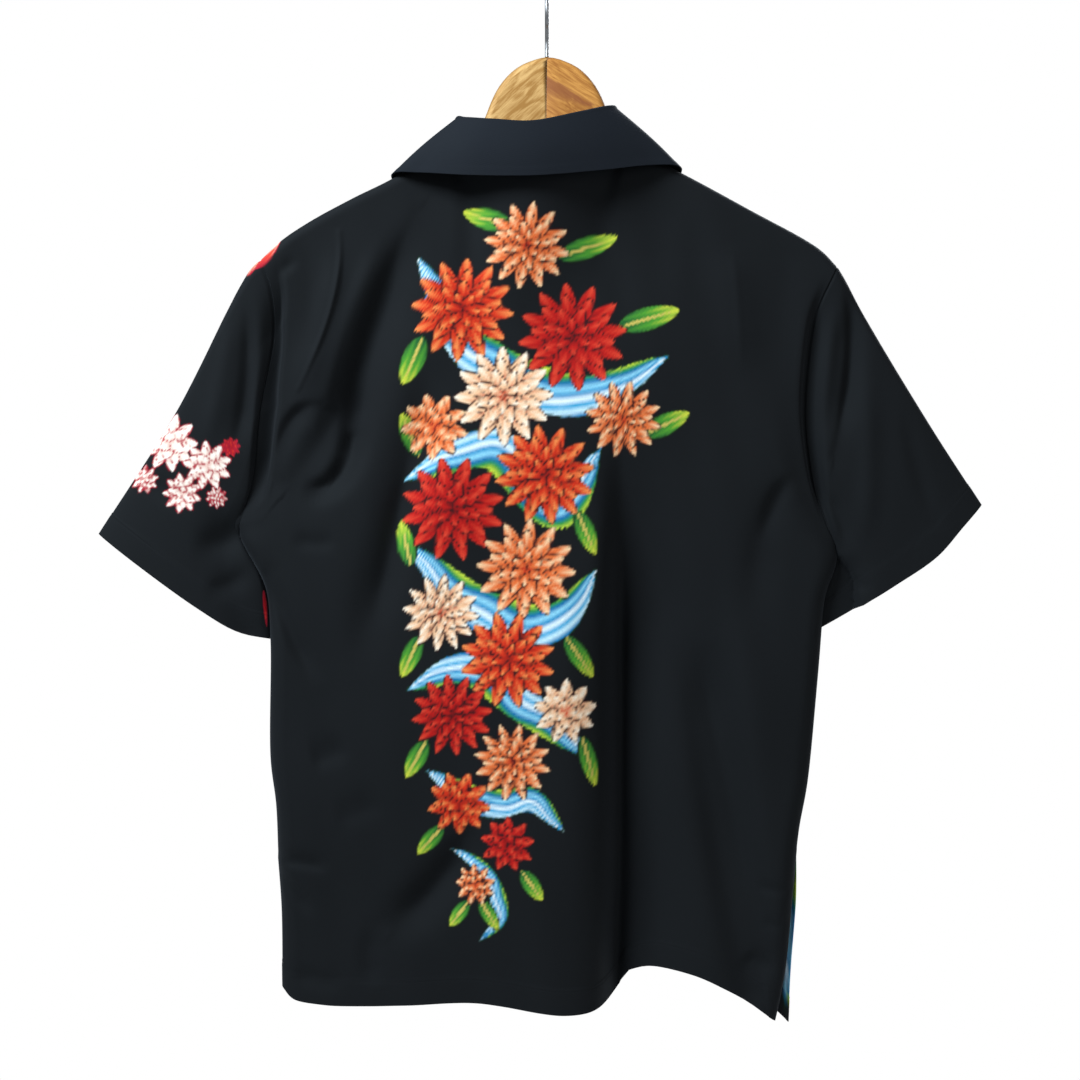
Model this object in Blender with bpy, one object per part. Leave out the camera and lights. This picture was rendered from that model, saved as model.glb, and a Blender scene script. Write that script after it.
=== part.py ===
"""A short-sleeved polo shirt hanging on a flat wooden hanger.

Blender 4.5, metres, +Z up. The wearer's left is +X and the wearer's front faces -Y. The origin is
the top of the space inside the hook, where a rail carries it. The tables and functions work in
millimetres, and each mesh is turned into metres when it is made.

Each cloth piece is a curved sheet: a patch in X and Z drawn between its cut edges, a height out of
that plane in Y from the garment's fullness and its folds, and a wall on the side away from the eye.
"""

import math
from collections import namedtuple

import bmesh
import bpy
import numpy as np
from mathutils import Matrix, Vector

MM = 0.001

# Cloth
WALL = 1.2
SEAM_GAP = 0.3
HALF_GAP = SEAM_GAP / 2
ARMHOLE_GAP = 0.6
FOLD_FADE = 0.35  # the share of a fold's length over which it rises or fades at an end
NORMAL_STEP = 0.0008
TINY = 1e-6

# Body panels: v runs from the hem (0) to the shoulder (1), u from the wearer's left to right
V_VENT = 0.20
V_UNDERARM = 0.62
V_PLACKET = 0.775
U_NECK_LEFT = 0.323
U_NECK_RIGHT = 0.637
SHOULDER_ROLL = 9.0
SIDE_ROLL = 16.0
ARMHOLE_ROLL = 34.0
SIDE_SHARE = 0.62  # how much of its fullness a panel keeps towards the sides
NECK_HALF_DEPTH = 32.0
NECK_ROUND = 0.5
NECK_FALL = 95.0
CENTRE_X = 9.0

# Placket
PLACKET_WIDTH = 30.0
PLACKET_RAISE = 0.5
BAND_GAP = 0.6
UNDER_BAND_TUCK = 7.0
UNDER_BAND_GAP = 1.0
BUTTON_RADIUS = 5.5
BUTTON_THICK = 2.6
BUTTON_SEAT = 0.3
BUTTON_SPACING = 52.0
BUTTON_FIRST_DROP = 16.0
BUTTON_COUNT = 3
BUTTON_STEPS = 16
# From the middle of the back round the rim to the middle of the face, as shares of radius and thickness
BUTTON_PROFILE = [(0, 0), (0.80, 0), (1, 0.35), (1, 0.75), (0.86, 1), (0.68, 0.72), (0, 0.72)]

# Collar
COLLAR_ROLL = 2.4
COLLAR_BOW = 2.5
COLLAR_STEP = 0.16
COLLAR_FACING = 2.2  # how strongly the collar's sections turn to the front and back
STAND_GAP = 1.0

# Hanger
HANGER_THICK = 12.0
HANGER_EDGE = 5.0
HANGER_TILT = math.radians(0.9)
HUMP_TOP_Z = -52.5
HUMP_LEAN = 1.3
HUMP_POINTS = 15
# One half's outline as (x from the middle, z): the hump, the arm's top, its end and its lower edge
HUMP = [(7, -53.4), (15, -56), (24.5, -60.3), (33.5, -67.3), (42, -77.5), (48.3, -89), (54, -104)]
ARM_TOP = [(58, -117), (62, -133), (76, -139.6), (100, -144.7), (140, -166.6), (180, -188.5), (212, -207.9)]
ARM_TIP = [(222, -216.5), (229, -225), (228, -235), (219, -240)]
ARM_LOW = [(180, -222), (140, -203), (100, -183), (60, -163), (30, -152), (0, -148)]
HOOK_WIRE = 1.8
HOOK_RADIUS = 16.0
HOOK_START, HOOK_END = math.radians(-62), math.radians(205)
# The hook's stem, as (y, height above the hump)
HOOK_STEM = [(0, SEAM_GAP), (0, 9), (1, 15)]

CLOTH_COLOUR = (0.012, 0.014, 0.018, 1.0)
WOOD_COLOUR = (0.50, 0.27, 0.12, 1.0)
STEEL_COLOUR = (0.45, 0.45, 0.46, 1.0)
BUTTON_COLOUR = (0.02, 0.02, 0.022, 1.0)

# Cut edges of the body, as (x, z) from the first named end to the last
SHOULDER_LEFT = [
    (251, -230.5), (233, -213.5), (209, -197.3), (170, -176.2), (137, -160), (88, -131),
]  # fmt: skip
SHOULDER_RIGHT = [(-70, -129.5), (-126, -158.5), (-176, -185.5), (-239, -221), (-254, -236)]
ARMHOLE_LEFT = [
    (257, -478), (258, -445), (255, -407), (250, -359), (239, -298), (241, -257), (251, -230.5),
]  # fmt: skip
ARMHOLE_RIGHT = [
    (-244, -492), (-240, -457), (-232, -421), (-226, -374), (-228, -324), (-236, -276), (-254, -236),
]  # fmt: skip
SIDE_LEFT = [
    (236, -756), (238, -709), (243, -668), (243, -567), (246, -523), (252, -500), (257, -478),
]  # fmt: skip
SIDE_RIGHT = [
    (-219, -751), (-222, -728), (-229, -690), (-237, -609), (-241.5, -553), (-243, -520), (-244, -492),
]  # fmt: skip
BACK_VENT_LEFT = [(231, -866), (232.5, -800), (236, -756)]
BACK_VENT_RIGHT = [(-199, -897), (-208, -856), (-215, -793), (-219, -751)]
FRONT_VENT_LEFT = [(229, -862), (231, -800), (236, -756)]
FRONT_VENT_RIGHT = [(-213, -903), (-215, -856), (-219, -793), (-219, -751)]
BACK_NECK = [(88, -131), (60, -141), (CENTRE_X, -146), (-42, -140), (-70, -129.5)]
FRONT_NECK = [(88, -131), (64, -168), (CENTRE_X, -203), (-46, -168), (-70, -129.5)]

# Hems, as (x, z)
BACK_HEM = [
    (231, -866), (220, -875), (195, -879), (150, -879.5), (68, -875.5), (40, -877.5), (9, -882),
    (-17, -884.5), (-40, -883.5), (-56, -879), (-64, -871), (-69, -860), (-77, -855), (-92, -851.5),
    (-132, -857.5), (-165, -873.5), (-186, -887), (-199, -897.5),
]  # fmt: skip
FRONT_HEM = [
    (229, -862), (195, -868), (120, -868), (60, -866), (0, -866), (-50, -852), (-90, -838), (-132, -843),
    (-170, -868), (-213, -903),
]  # fmt: skip

FRONT_HEM_Z = -866.0

# Which x of the hem each column of a panel ends at, so that the columns hang straight
Column = namedtuple("Column", "u hem_x")
HEM_COLUMNS_BACK = [Column(0, 231), Column(0.323, 88), Column(0.637, -66), Column(1, -199)]
HEM_COLUMNS_FRONT = [Column(0, 229), Column(0.323, 88), Column(0.637, -70), Column(1, -213)]

# How far each panel stands out at a height, and how far its armhole edge does
Level = namedtuple("Level", "z back front")
FULLNESS = [
    Level(-140, 12, 12),
    Level(-230, 13, 13),
    Level(-320, 17, 16),
    Level(-430, 22, 20),
    Level(-560, 26, 24),
    Level(-700, 30, 27),
    Level(-900, 32, 28),
]
ArmholeLevel = namedtuple("ArmholeLevel", "v out")
ARMHOLE_DEPTH = [
    ArmholeLevel(0.620, 0.0),
    ArmholeLevel(0.640, 6.2),
    ArmholeLevel(0.680, 8.5),
    ArmholeLevel(0.760, 11.5),
    ArmholeLevel(0.900, 12.5),
    ArmholeLevel(1.000, 11.5),
]
VENT_OPEN = 7.0

# Folds: a path through three places, how far it lifts (+) or sinks (-) the cloth, how wide it is to
# either side of the path, and the share of its depth that it keeps at its two ends
Fold = namedtuple("Fold", "name start middle end depth left right keep_start keep_end")
BACK_FOLDS = [
    Fold("main_fold", (-66, -350), (-68, -640), (-63, -890), -44, 11, 62, 0, 1),
    Fold("main_lobe", (-8, -480), (-20, -680), (-22, -890), 9, 62, 34, 0, 1),
    Fold("left_sweep", (113, -185), (166, -335), (222, -428), -10, 15, 24, 0, 0.3),
    Fold("left_sweep_ridge", (182, -200), (194, -292), (216, -352), 4, 11, 12, 0, 0),
    Fold("middle_sweep", (92, -298), (133, -462), (166, -600), -8, 16, 20, 0, 0),
    Fold("low_sweep", (60, -722), (102, -779), (146, -818), -8, 16, 20, 0, 0),
    Fold("right_run", (-125, -545), (-143, -690), (-176, -870), -10, 16, 18, 0, 0.6),
    Fold("right_armpit", (-217, -428), (-190, -470), (-180, -560), -8, 13, 13, 0.2, 0),
    Fold("right_blade_ridge", (-160, -215), (-166, -270), (-173, -340), 4, 16, 16, 0, 0),
]
FRONT_FOLDS = [
    Fold("front_main", (60, -400), (70, -650), (66, -890), -14, 30, 18, 0, 1),
    Fold("front_right_run", (-110, -470), (-120, -680), (-104, -880), -12, 18, 26, 0, 1),
    Fold("front_left_sweep", (105, -270), (168, -370), (224, -440), -8, 15, 22, 0, 0.3),
    Fold("front_right_sweep", (-95, -270), (-158, -370), (-214, -450), -8, 15, 22, 0, 0.3),
    Fold("front_low_lobe", (-30, -600), (-40, -760), (-40, -880), 6, 40, 40, 0, 1),
]

# Where the hanging cloth is pushed sideways, body and sleeve together: the corners under the arms
Push = namedtuple("Push", "name centre by radius")
PUSHES = [
    Push("left_underarm", (258, -472), (13, 2), 28),
    Push("right_underarm", (-245, -492), (-11, 0), 26),
]

# Sleeves, as (x, z): the fold along the top, the underarm edge, and the hem from top to underarm
SLEEVE_LEFT = {
    "top": [(251.5, -230.8), (260, -239), (270, -255), (280.5, -275), (326, -364.5), (394, -471.5)],
    "under": [(258.6, -479.4), (253.6, -501), (247.8, -524), (243.6, -564)],
    "back_hem": [(394, -471.5), (303, -537.5), (269, -558), (243.6, -564)],
    "front_hem": [(394, -471.5), (307, -530), (272, -549), (243.6, -564)],
}
SLEEVE_RIGHT = {
    "top": [(-254.4, -236.4), (-262, -249), (-279.5, -281.5), (-336, -375), (-382, -446)],
    "under": [(-245.8, -493.4), (-244.8, -520), (-242.8, -554)],
    "back_hem": [(-382, -446), (-363, -466), (-339, -492), (-301, -518), (-271, -536.5), (-242.8, -554)],
    "front_hem": [(-382, -446), (-356, -464), (-330, -486), (-296, -509), (-268, -528), (-242.8, -554)],
}
SLEEVE_HEM_DEPTH = 17.0
SLEEVE_FOLD_START = 0.15
SLEEVE_RINGS = np.array([0, 0.04, 0.11, 0.22, 0.36, 0.52, 0.68, 0.84, 1.0])
SLEEVE_FOLDS_LEFT = [
    Fold("cap_trough", (262, -262), (262, -340), (276, -410), -3.5, 12, 14, 0, 0),
    Fold("under_sink", (290, -440), (278, -500), (262, -556), -5, 14, 16, 0, 1),
]
SLEEVE_FOLDS_RIGHT = [
    Fold("cap_trough", (-258, -254), (-259, -330), (-249, -392), -5, 12, 12, 0, 0),
    Fold("under_sink", (-256, -490), (-262, -515), (-262, -545), -7, 12, 14, 0.3, 1),
]

# Collar stations from the wearer's left front round the back to the right front. The stand starts on
# the neck seam, "seam" quarters of the way round it, and the rest is where the roll and the edge lie
Station = namedtuple("Station", "name seam roll edge")
COLLAR = [
    Station("left_front", 0.03, (14, -36.5, -187), (64, -35, -246)),
    Station("left_chest", 0.38, (52, -31, -159), (106, -31, -208)),
    Station("left_side", 0.72, (76, -15, -128), (129, -19, -177)),
    Station("left_crest_front", 0.9, (79, -5, -112.5), (137, -9, -158.5)),
    Station("left_crest_back", 1.07, (78.5, 4, -108.5), (135, 9, -156.5)),
    Station("left_back", 1.39, (70, 17, -111.6), (110, 21, -158.3)),
    Station("centre_left", 1.71, (46, 30, -116.4), (64, 35, -163.7)),
    Station("centre_back", 2.0, (12, 35.5, -119.2), (10, 42, -165.4)),
    Station("centre_right", 2.29, (-27, 30, -110.2), (-44, 35, -159.6)),
    Station("right_back", 2.61, (-53, 17, -101.6), (-90, 21, -151.7)),
    Station("right_crest_back", 2.93, (-60, 4, -100.5), (-117, 9, -151)),
    Station("right_crest_front", 3.1, (-61, -5, -105), (-118.5, -9, -154)),
    Station("right_side", 3.28, (-60, -15, -121), (-113, -19, -171)),
    Station("right_chest", 3.62, (-34, -31, -158), (-88, -31, -207)),
    Station("right_front", 3.97, (4, -36.5, -187), (-46, -35, -246)),
]


# ---------------------------------------------------------------------------- curves and grids


def smooth_curve(points, steps=24):
    """A curve through the points as a function of the share of its length, 0 to 1."""
    knots = np.array(points, float)
    before = 2 * knots[0] - knots[1]
    after = 2 * knots[-1] - knots[-2]
    knots = np.vstack([before, knots, after])
    samples = []
    for p0, p1, p2, p3 in zip(knots, knots[1:], knots[2:], knots[3:]):
        spans = [np.sqrt(np.linalg.norm(b - a)) for a, b in ((p0, p1), (p1, p2), (p2, p3))]
        t = np.linspace(0, spans[1], steps, endpoint=False)[:, None]
        a1 = p1 + (p1 - p0) / spans[0] * t
        a2 = p1 + (p2 - p1) / spans[1] * t
        a3 = p2 + (p3 - p2) / spans[2] * (t - spans[1])
        b1 = a1 + (a2 - a1) * (t + spans[0]) / (spans[0] + spans[1])
        b2 = a2 + (a3 - a2) * t / (spans[1] + spans[2])
        samples.append(b1 + (b2 - b1) * t / spans[1])
    samples = np.vstack(samples + [knots[-2][None]])
    length = np.concatenate([[0], np.cumsum(np.linalg.norm(np.diff(samples, axis=0), axis=1))])
    length /= length[-1]

    def at(share):
        return np.stack([np.interp(share, length, column) for column in samples.T], axis=-1)

    return at


def joined(curves, limits):
    """Several curves end to end as one function, each over its own stretch of the limits."""

    def at(share):
        share = np.asarray(share, float)
        place = curves[0](np.zeros_like(share))
        for curve, low, high in zip(curves, limits, limits[1:]):
            inside = (share >= low) & (share <= high)
            place[inside] = curve((share[inside] - low) / (high - low))
        return place

    return at


def column_of(table, name):
    return [getattr(row, name) for row in table]


def smooth_step(t):
    t = np.clip(t, 0, 1)
    return t * t * (3 - 2 * t)


def quarter_round(distance, radius):
    """The rise of a rounded edge, 0 at the edge itself and 1 a radius away."""
    return np.sqrt(1 - (1 - np.clip(distance / radius, 0, 1)) ** 2)


def fold_height(folds, x, z):
    """How far the folds lift the cloth at each place."""
    places = np.stack([x.ravel(), z.ravel()], axis=-1)
    height = np.zeros(len(places))
    t = np.linspace(0, 1, 17)[:, None]
    for fold in folds:
        start, middle, end = (np.array(p, float) for p in (fold.start, fold.middle, fold.end))
        control = 2 * middle - (start + end) / 2
        path = (1 - t) ** 2 * start + 2 * t * (1 - t) * control + t**2 * end
        run = path[1:] - path[:-1]
        offset = places[:, None] - path[:-1]
        along = np.clip((offset * run).sum(-1) / (run * run).sum(-1), 0, 1)
        away = offset - along[..., None] * run
        gap = np.linalg.norm(away, axis=-1)
        nearest = gap.argmin(axis=1)
        row = np.arange(len(places))
        turn = run[nearest, 0] * away[row, nearest, 1] - run[nearest, 1] * away[row, nearest, 0]
        width = np.where(turn > 0, fold.left, fold.right)
        share = (nearest + along[row, nearest]) / len(run)
        rise = fold.keep_start + (1 - fold.keep_start) * smooth_step(share / FOLD_FADE)
        fall = fold.keep_end + (1 - fold.keep_end) * smooth_step((1 - share) / FOLD_FADE)
        height += fold.depth * rise * fall * np.exp(-((gap[row, nearest] / width) ** 2))
    return height.reshape(x.shape)


def pushed(flat):
    """The places of a grid after the sideways pushes."""
    moved = flat.copy()
    for push in PUSHES:
        away = np.linalg.norm(flat - push.centre, axis=-1, keepdims=True)
        moved += np.exp(-((away / push.radius) ** 2)) * push.by
    return moved


def patch(low, high, left, right, u, v):
    """A grid of (x, z) between four edges: low and high run along u, left and right along v. The
    curves of the left and right edges die away quickly, so that the middle of the cloth is straight."""
    u_row, v_column = u[None, :, None], v[:, None, None]
    ends = np.array([0.0, 1.0])
    (low_left, low_right), (high_left, high_right) = low(ends), high(ends)
    across = (1 - v_column) * low(u)[None] + v_column * high(u)[None]
    left_curve = left(v)[:, None] - (1 - v_column) * low_left - v_column * high_left
    right_curve = right(v)[:, None] - (1 - v_column) * low_right - v_column * high_right
    return across + (1 - u_row) ** 3 * left_curve + u_row**3 * right_curve


# ------------------------------------------------------------------------------- body panels


class Panel:
    """The back or the front: its cut edges, and the surface of the hanging cloth."""

    def __init__(self, side, vents, neck, hem, columns, folds):
        self.side = side
        self.folds = folds
        limits = [0, V_VENT, V_UNDERARM, 1]
        left_vent, right_vent = vents
        self.left = joined([smooth_curve(c) for c in (left_vent, SIDE_LEFT, ARMHOLE_LEFT)], limits)
        self.right = joined([smooth_curve(c) for c in (right_vent, SIDE_RIGHT, ARMHOLE_RIGHT)], limits)
        self.high = joined(
            [smooth_curve(c) for c in (SHOULDER_LEFT, neck, SHOULDER_RIGHT)],
            [0, U_NECK_LEFT, U_NECK_RIGHT, 1],
        )
        self.columns = columns
        outline = smooth_curve(hem)(np.linspace(0, 1, 400))
        self.hem_line = outline[np.argsort(outline[:, 0])]

    def low(self, u):
        x = np.interp(u, column_of(self.columns, "u"), column_of(self.columns, "hem_x"))
        return np.stack([x, np.interp(x, self.hem_line[:, 0], self.hem_line[:, 1])], axis=-1)

    def surface(self, u, v):
        """Points (rows of v, columns of u, xyz) of the outer face, in millimetres."""
        flat = patch(self.low, self.high, self.left, self.right, u, v)
        x, z = flat[..., 0], flat[..., 1]
        u_grid = np.broadcast_to(u[None], x.shape)
        v_grid = np.broadcast_to(v[:, None], x.shape)

        # The open body of the cloth: fullest in the middle, with its folds
        levels = FULLNESS[::-1]
        full = np.interp(z, column_of(levels, "z"), column_of(levels, self.side))
        place = pushed(flat)
        folded = fold_height(self.folds, place[..., 0], place[..., 1])
        lie = full * (SIDE_SHARE + (1 - SIDE_SHARE) * np.sin(np.pi * u_grid)) + folded

        # The sides: a rolled edge at the side seam, a soft run into the sleeve at the armhole
        above = v_grid > V_UNDERARM
        edge = np.interp(v_grid, column_of(ARMHOLE_DEPTH, "v"), column_of(ARMHOLE_DEPTH, "out"))
        edge = edge + VENT_OPEN * smooth_step((V_VENT - v_grid) / V_VENT)
        left_gap = np.abs(self.left(v)[:, None, 0] - x)
        right_gap = np.abs(x - self.right(v)[:, None, 0])
        from_left, from_right = (
            np.where(above, smooth_step(gap / ARMHOLE_ROLL), quarter_round(gap, SIDE_ROLL))
            for gap in (left_gap, right_gap)
        )
        out = lie * from_left * from_right + edge * (1 - from_left) + edge * (1 - from_right)

        # The top: over the hanger's arm along the shoulder, and round the wearer's neck
        drop = np.maximum(self.high(u)[None, :, 1] - z, 0)
        share = np.clip((u_grid - U_NECK_LEFT) / (U_NECK_RIGHT - U_NECK_LEFT), 0, 1)
        ring = np.sin(np.pi * share) ** NECK_ROUND
        at_top = NECK_HALF_DEPTH * ring
        openness = smooth_step(2 * ring)
        fall = (1 - openness) * quarter_round(drop, SHOULDER_ROLL) + openness * smooth_step(drop / NECK_FALL)
        out = at_top + (out - at_top) * fall
        y = (HALF_GAP + out) * (1 if self.side == "back" else -1)
        return np.stack([place[..., 0], y, place[..., 1]], axis=-1)

    def normals(self, u, v):
        """The outward direction at each point of the surface, level where two panels are sewn."""
        step = NORMAL_STEP
        across = self.surface(np.minimum(u + step, 1), v) - self.surface(np.maximum(u - step, 0), v)
        up = self.surface(u, np.minimum(v + step, 1)) - self.surface(u, np.maximum(v - step, 0))
        normal = np.cross(across, up)
        normal *= np.sign(normal[..., 1:2].mean()) * (1 if self.side == "back" else -1)
        u_grid, v_grid = np.meshgrid(u, v)
        at_side = (u_grid < TINY) | (u_grid > 1 - TINY)
        sewn_side = at_side & (v_grid <= V_UNDERARM) & (v_grid >= V_VENT)
        off_neck = (u_grid <= U_NECK_LEFT) | (u_grid >= U_NECK_RIGHT)
        normal[sewn_side | ((v_grid > 1 - TINY) & off_neck), 1] = 0
        return normal / np.linalg.norm(normal, axis=-1, keepdims=True)


BACK = Panel(
    "back", (BACK_VENT_LEFT, BACK_VENT_RIGHT), BACK_NECK, BACK_HEM, HEM_COLUMNS_BACK, BACK_FOLDS
)
FRONT = Panel(
    "front", (FRONT_VENT_LEFT, FRONT_VENT_RIGHT), FRONT_NECK, FRONT_HEM, HEM_COLUMNS_FRONT, FRONT_FOLDS
)

# The grid lines of the panels. Both share the rows beside the armhole, which the sleeves follow too
LOWER_ARM_ROWS = [V_UNDERARM, 0.63, 0.65, 0.69, 0.735, V_PLACKET]
UPPER_ARM_ROWS = [0.82, 0.86, 0.90, 0.93, 0.96, 0.984, 0.994, 0.9985, 1.0]
ARM_ROWS = np.array(LOWER_ARM_ROWS + UPPER_ARM_ROWS)
SIDE_COLUMNS = np.array([0, 0.003, 0.011, 0.024, 0.042])


def even_lines(*stretches):
    """Evenly spaced grid lines over each (low, high, count) stretch in turn."""
    lines = [np.linspace(low, high, count, endpoint=False) for low, high, count in stretches]
    return np.concatenate([*lines, [stretches[-1][1]]])


def panel_rows(vent_count, side_count):
    below = even_lines((0, V_VENT, vent_count), (V_VENT, V_UNDERARM, side_count))
    return np.concatenate([below, ARM_ROWS[1:]])


def panel_columns(*stretches):
    """The columns of a panel: fine ones at both sides, and even ones between."""
    return np.concatenate([SIDE_COLUMNS[:-1], even_lines(*stretches), 1 - SIDE_COLUMNS[-2::-1]])


def placket_span():
    """The u of the placket's two edges on the front panel."""
    share = PLACKET_WIDTH / 2 / (FRONT_NECK[0][0] - FRONT_NECK[-1][0]) * (U_NECK_RIGHT - U_NECK_LEFT)
    middle = (U_NECK_LEFT + U_NECK_RIGHT) / 2
    return middle - share, middle + share


PLACKET_LEFT, PLACKET_RIGHT = placket_span()
BACK_ROWS = panel_rows(5, 10)
BACK_COLUMNS = panel_columns(
    (SIDE_COLUMNS[-1], U_NECK_LEFT, 8),
    (U_NECK_LEFT, 0.60, 8),
    (0.60, U_NECK_RIGHT, 4),
    (U_NECK_RIGHT, 0.70, 5),
    (0.70, 1 - SIDE_COLUMNS[-1], 8),
)
FRONT_ROWS = panel_rows(4, 8)
FRONT_COLUMNS = panel_columns(
    (SIDE_COLUMNS[-1], U_NECK_LEFT, 6),
    (U_NECK_LEFT, PLACKET_LEFT, 4),
    (PLACKET_LEFT, PLACKET_RIGHT, 2),
    (PLACKET_RIGHT, U_NECK_RIGHT, 4),
    (U_NECK_RIGHT, 1 - SIDE_COLUMNS[-1], 6),
)


# ---------------------------------------------------------------------------- making meshes


def material(name, colour, roughness, metallic=0.0):
    made = bpy.data.materials.new(name)
    made.use_nodes = True
    shader = made.node_tree.nodes["Principled BSDF"]
    shader.inputs["Base Color"].default_value = colour
    shader.inputs["Roughness"].default_value = roughness
    shader.inputs["Metallic"].default_value = metallic
    return made


def add_object(name, mesh, finish, whole):
    obj = bpy.data.objects.new(name, mesh)
    bpy.context.scene.collection.objects.link(obj)
    obj.data.materials.append(finish)
    obj.parent = whole
    return obj


def grid_normals(grid, ring=False):
    """Unit normals of a grid of points, from the points beside each one."""
    up = np.gradient(grid, axis=0)
    if ring:
        across = np.roll(grid, -1, axis=1) - np.roll(grid, 1, axis=1)
    else:
        across = np.gradient(grid, axis=1)
    normal = np.cross(across, up)
    return normal / np.linalg.norm(normal, axis=-1, keepdims=True)


def cloth_piece(name, outer, normals, finish, whole, ring=False, cut=None):
    """A closed sheet: the outer points, the inner ones a wall's thickness behind them, and the edges.
    "ring" joins the last column to the first, and "cut" leaves out cells of the grid."""
    rows, columns = outer.shape[:2]
    index = np.arange(rows * columns).reshape(rows, columns)
    quads = []
    for row in range(rows - 1):
        for column in range(columns if ring else columns - 1):
            beside = (column + 1) % columns
            if cut is None or not cut[row, column]:
                low, high = index[row], index[row + 1]
                corners = low[column], low[beside], high[beside], high[column]
                quads.append(tuple(int(corner) for corner in corners))
    points, facing = outer.reshape(-1, 3), normals.reshape(-1, 3)
    a, b, c, d = (points[list(corner)] for corner in zip(*quads))
    if (np.cross(c - a, d - b) * facing[[quad[0] for quad in quads]]).sum() < 0:
        quads = [quad[::-1] for quad in quads]
    count = len(points)
    sides = {(quad[k], quad[(k + 1) % 4]) for quad in quads for k in range(4)}
    open_sides = sorted(side for side in sides if side[::-1] not in sides)
    rims = [(end, start, start + count, end + count) for start, end in open_sides]
    inner_quads = [tuple(corner + count for corner in quad[::-1]) for quad in quads]
    used, faces = np.unique(quads + inner_quads + rims, return_inverse=True)
    both = np.concatenate([points, points - facing * WALL])
    mesh = bpy.data.meshes.new(name)
    mesh.from_pydata((both[used] * MM).tolist(), [], faces.reshape(-1, 4).tolist())
    mesh.shade_smooth()
    mesh.set_sharp_from_angle(angle=math.radians(60))
    return add_object(name, mesh, finish, whole)


# ----------------------------------------------------------------------------- the shirt


def panel_piece(panel, name, u, v, finish, whole, moved=0.0, cut=None):
    """A piece of a panel's own surface, moved outward along its normals."""
    normals = panel.normals(u, v)
    outer = panel.surface(u, v) + normals * moved
    return cloth_piece(name, outer, normals, finish, whole, cut=cut)


def make_back(finish, whole):
    panel_piece(BACK, "back", BACK_COLUMNS, BACK_ROWS, finish, whole)


def make_front(finish, whole):
    u, v = FRONT_COLUMNS[:-1], FRONT_ROWS[:-1]
    within = (u > PLACKET_LEFT - TINY) & (u < PLACKET_RIGHT - TINY)
    cut = (v[:, None] > V_PLACKET - TINY) & within[None]
    panel_piece(FRONT, "front", FRONT_COLUMNS, FRONT_ROWS, finish, whole, cut=cut)


def band_lines(trim):
    """The grid lines of a placket band, which stops short of the cut's edges by "trim" millimetres."""
    u_trim = trim * (U_NECK_RIGHT - U_NECK_LEFT) / (FRONT_NECK[0][0] - FRONT_NECK[-1][0])
    v_trim = trim / (FRONT_NECK[2][1] - FRONT_HEM_Z)
    middle = (PLACKET_LEFT + PLACKET_RIGHT) / 2
    u = [PLACKET_LEFT + u_trim, middle, PLACKET_RIGHT - u_trim]
    if trim < 0:
        u[1:2] = [PLACKET_LEFT, middle, PLACKET_RIGHT]
    return np.array(u), np.concatenate([[V_PLACKET + v_trim], FRONT_ROWS[FRONT_ROWS > V_PLACKET + TINY]])


def make_placket(finish, whole):
    """The over band fills the cut in the front, and the under band lies behind both."""
    panel_piece(FRONT, "placket_over", *band_lines(BAND_GAP), finish, whole, moved=PLACKET_RAISE)
    behind = -(WALL + UNDER_BAND_GAP)
    panel_piece(FRONT, "placket_under", *band_lines(-UNDER_BAND_TUCK), finish, whole, moved=behind)


def make_buttons(finish, whole):
    """Turned discs with a raised rim, down the middle of the over band."""
    radius, thick = BUTTON_RADIUS * MM, BUTTON_THICK * MM
    u, v = band_lines(BAND_GAP)
    middle = u[1:2]
    band = (FRONT.surface(middle, v) + FRONT.normals(middle, v) * PLACKET_RAISE)[:, 0]
    height = band[:, 2]
    for number in range(BUTTON_COUNT):
        z = band[-1, 2] - BUTTON_FIRST_DROP - number * BUTTON_SPACING
        row = np.searchsorted(height, z)
        low, high = band[row - 1], band[row]
        normal = np.cross(high - low, (1, 0, 0))
        normal /= -np.linalg.norm(normal) * np.sign(normal[1])
        share = (z - low[2]) / (high[2] - low[2])
        centre = low + (high - low) * share + normal * (SEAM_GAP + BUTTON_SEAT)
        mesh = bpy.data.meshes.new(f"button_{number + 1}")
        shape = bmesh.new()
        verts = [shape.verts.new((r * radius, 0, h * thick)) for r, h in BUTTON_PROFILE]
        edges = [shape.edges.new(pair) for pair in zip(verts, verts[1:])]
        bmesh.ops.spin(
            shape, geom=verts + edges, axis=(0, 0, 1), cent=(0, 0, 0), angle=2 * math.pi, steps=BUTTON_STEPS
        )
        bmesh.ops.remove_doubles(shape, verts=shape.verts, dist=TINY)
        bmesh.ops.recalc_face_normals(shape, faces=shape.faces)
        shape.to_mesh(mesh)
        shape.free()
        obj = add_object(f"button_{number + 1}", mesh, finish, whole)
        obj.location = centre * MM
        obj.rotation_euler = Vector(normal).to_track_quat("Z", "Y").to_euler()


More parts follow.
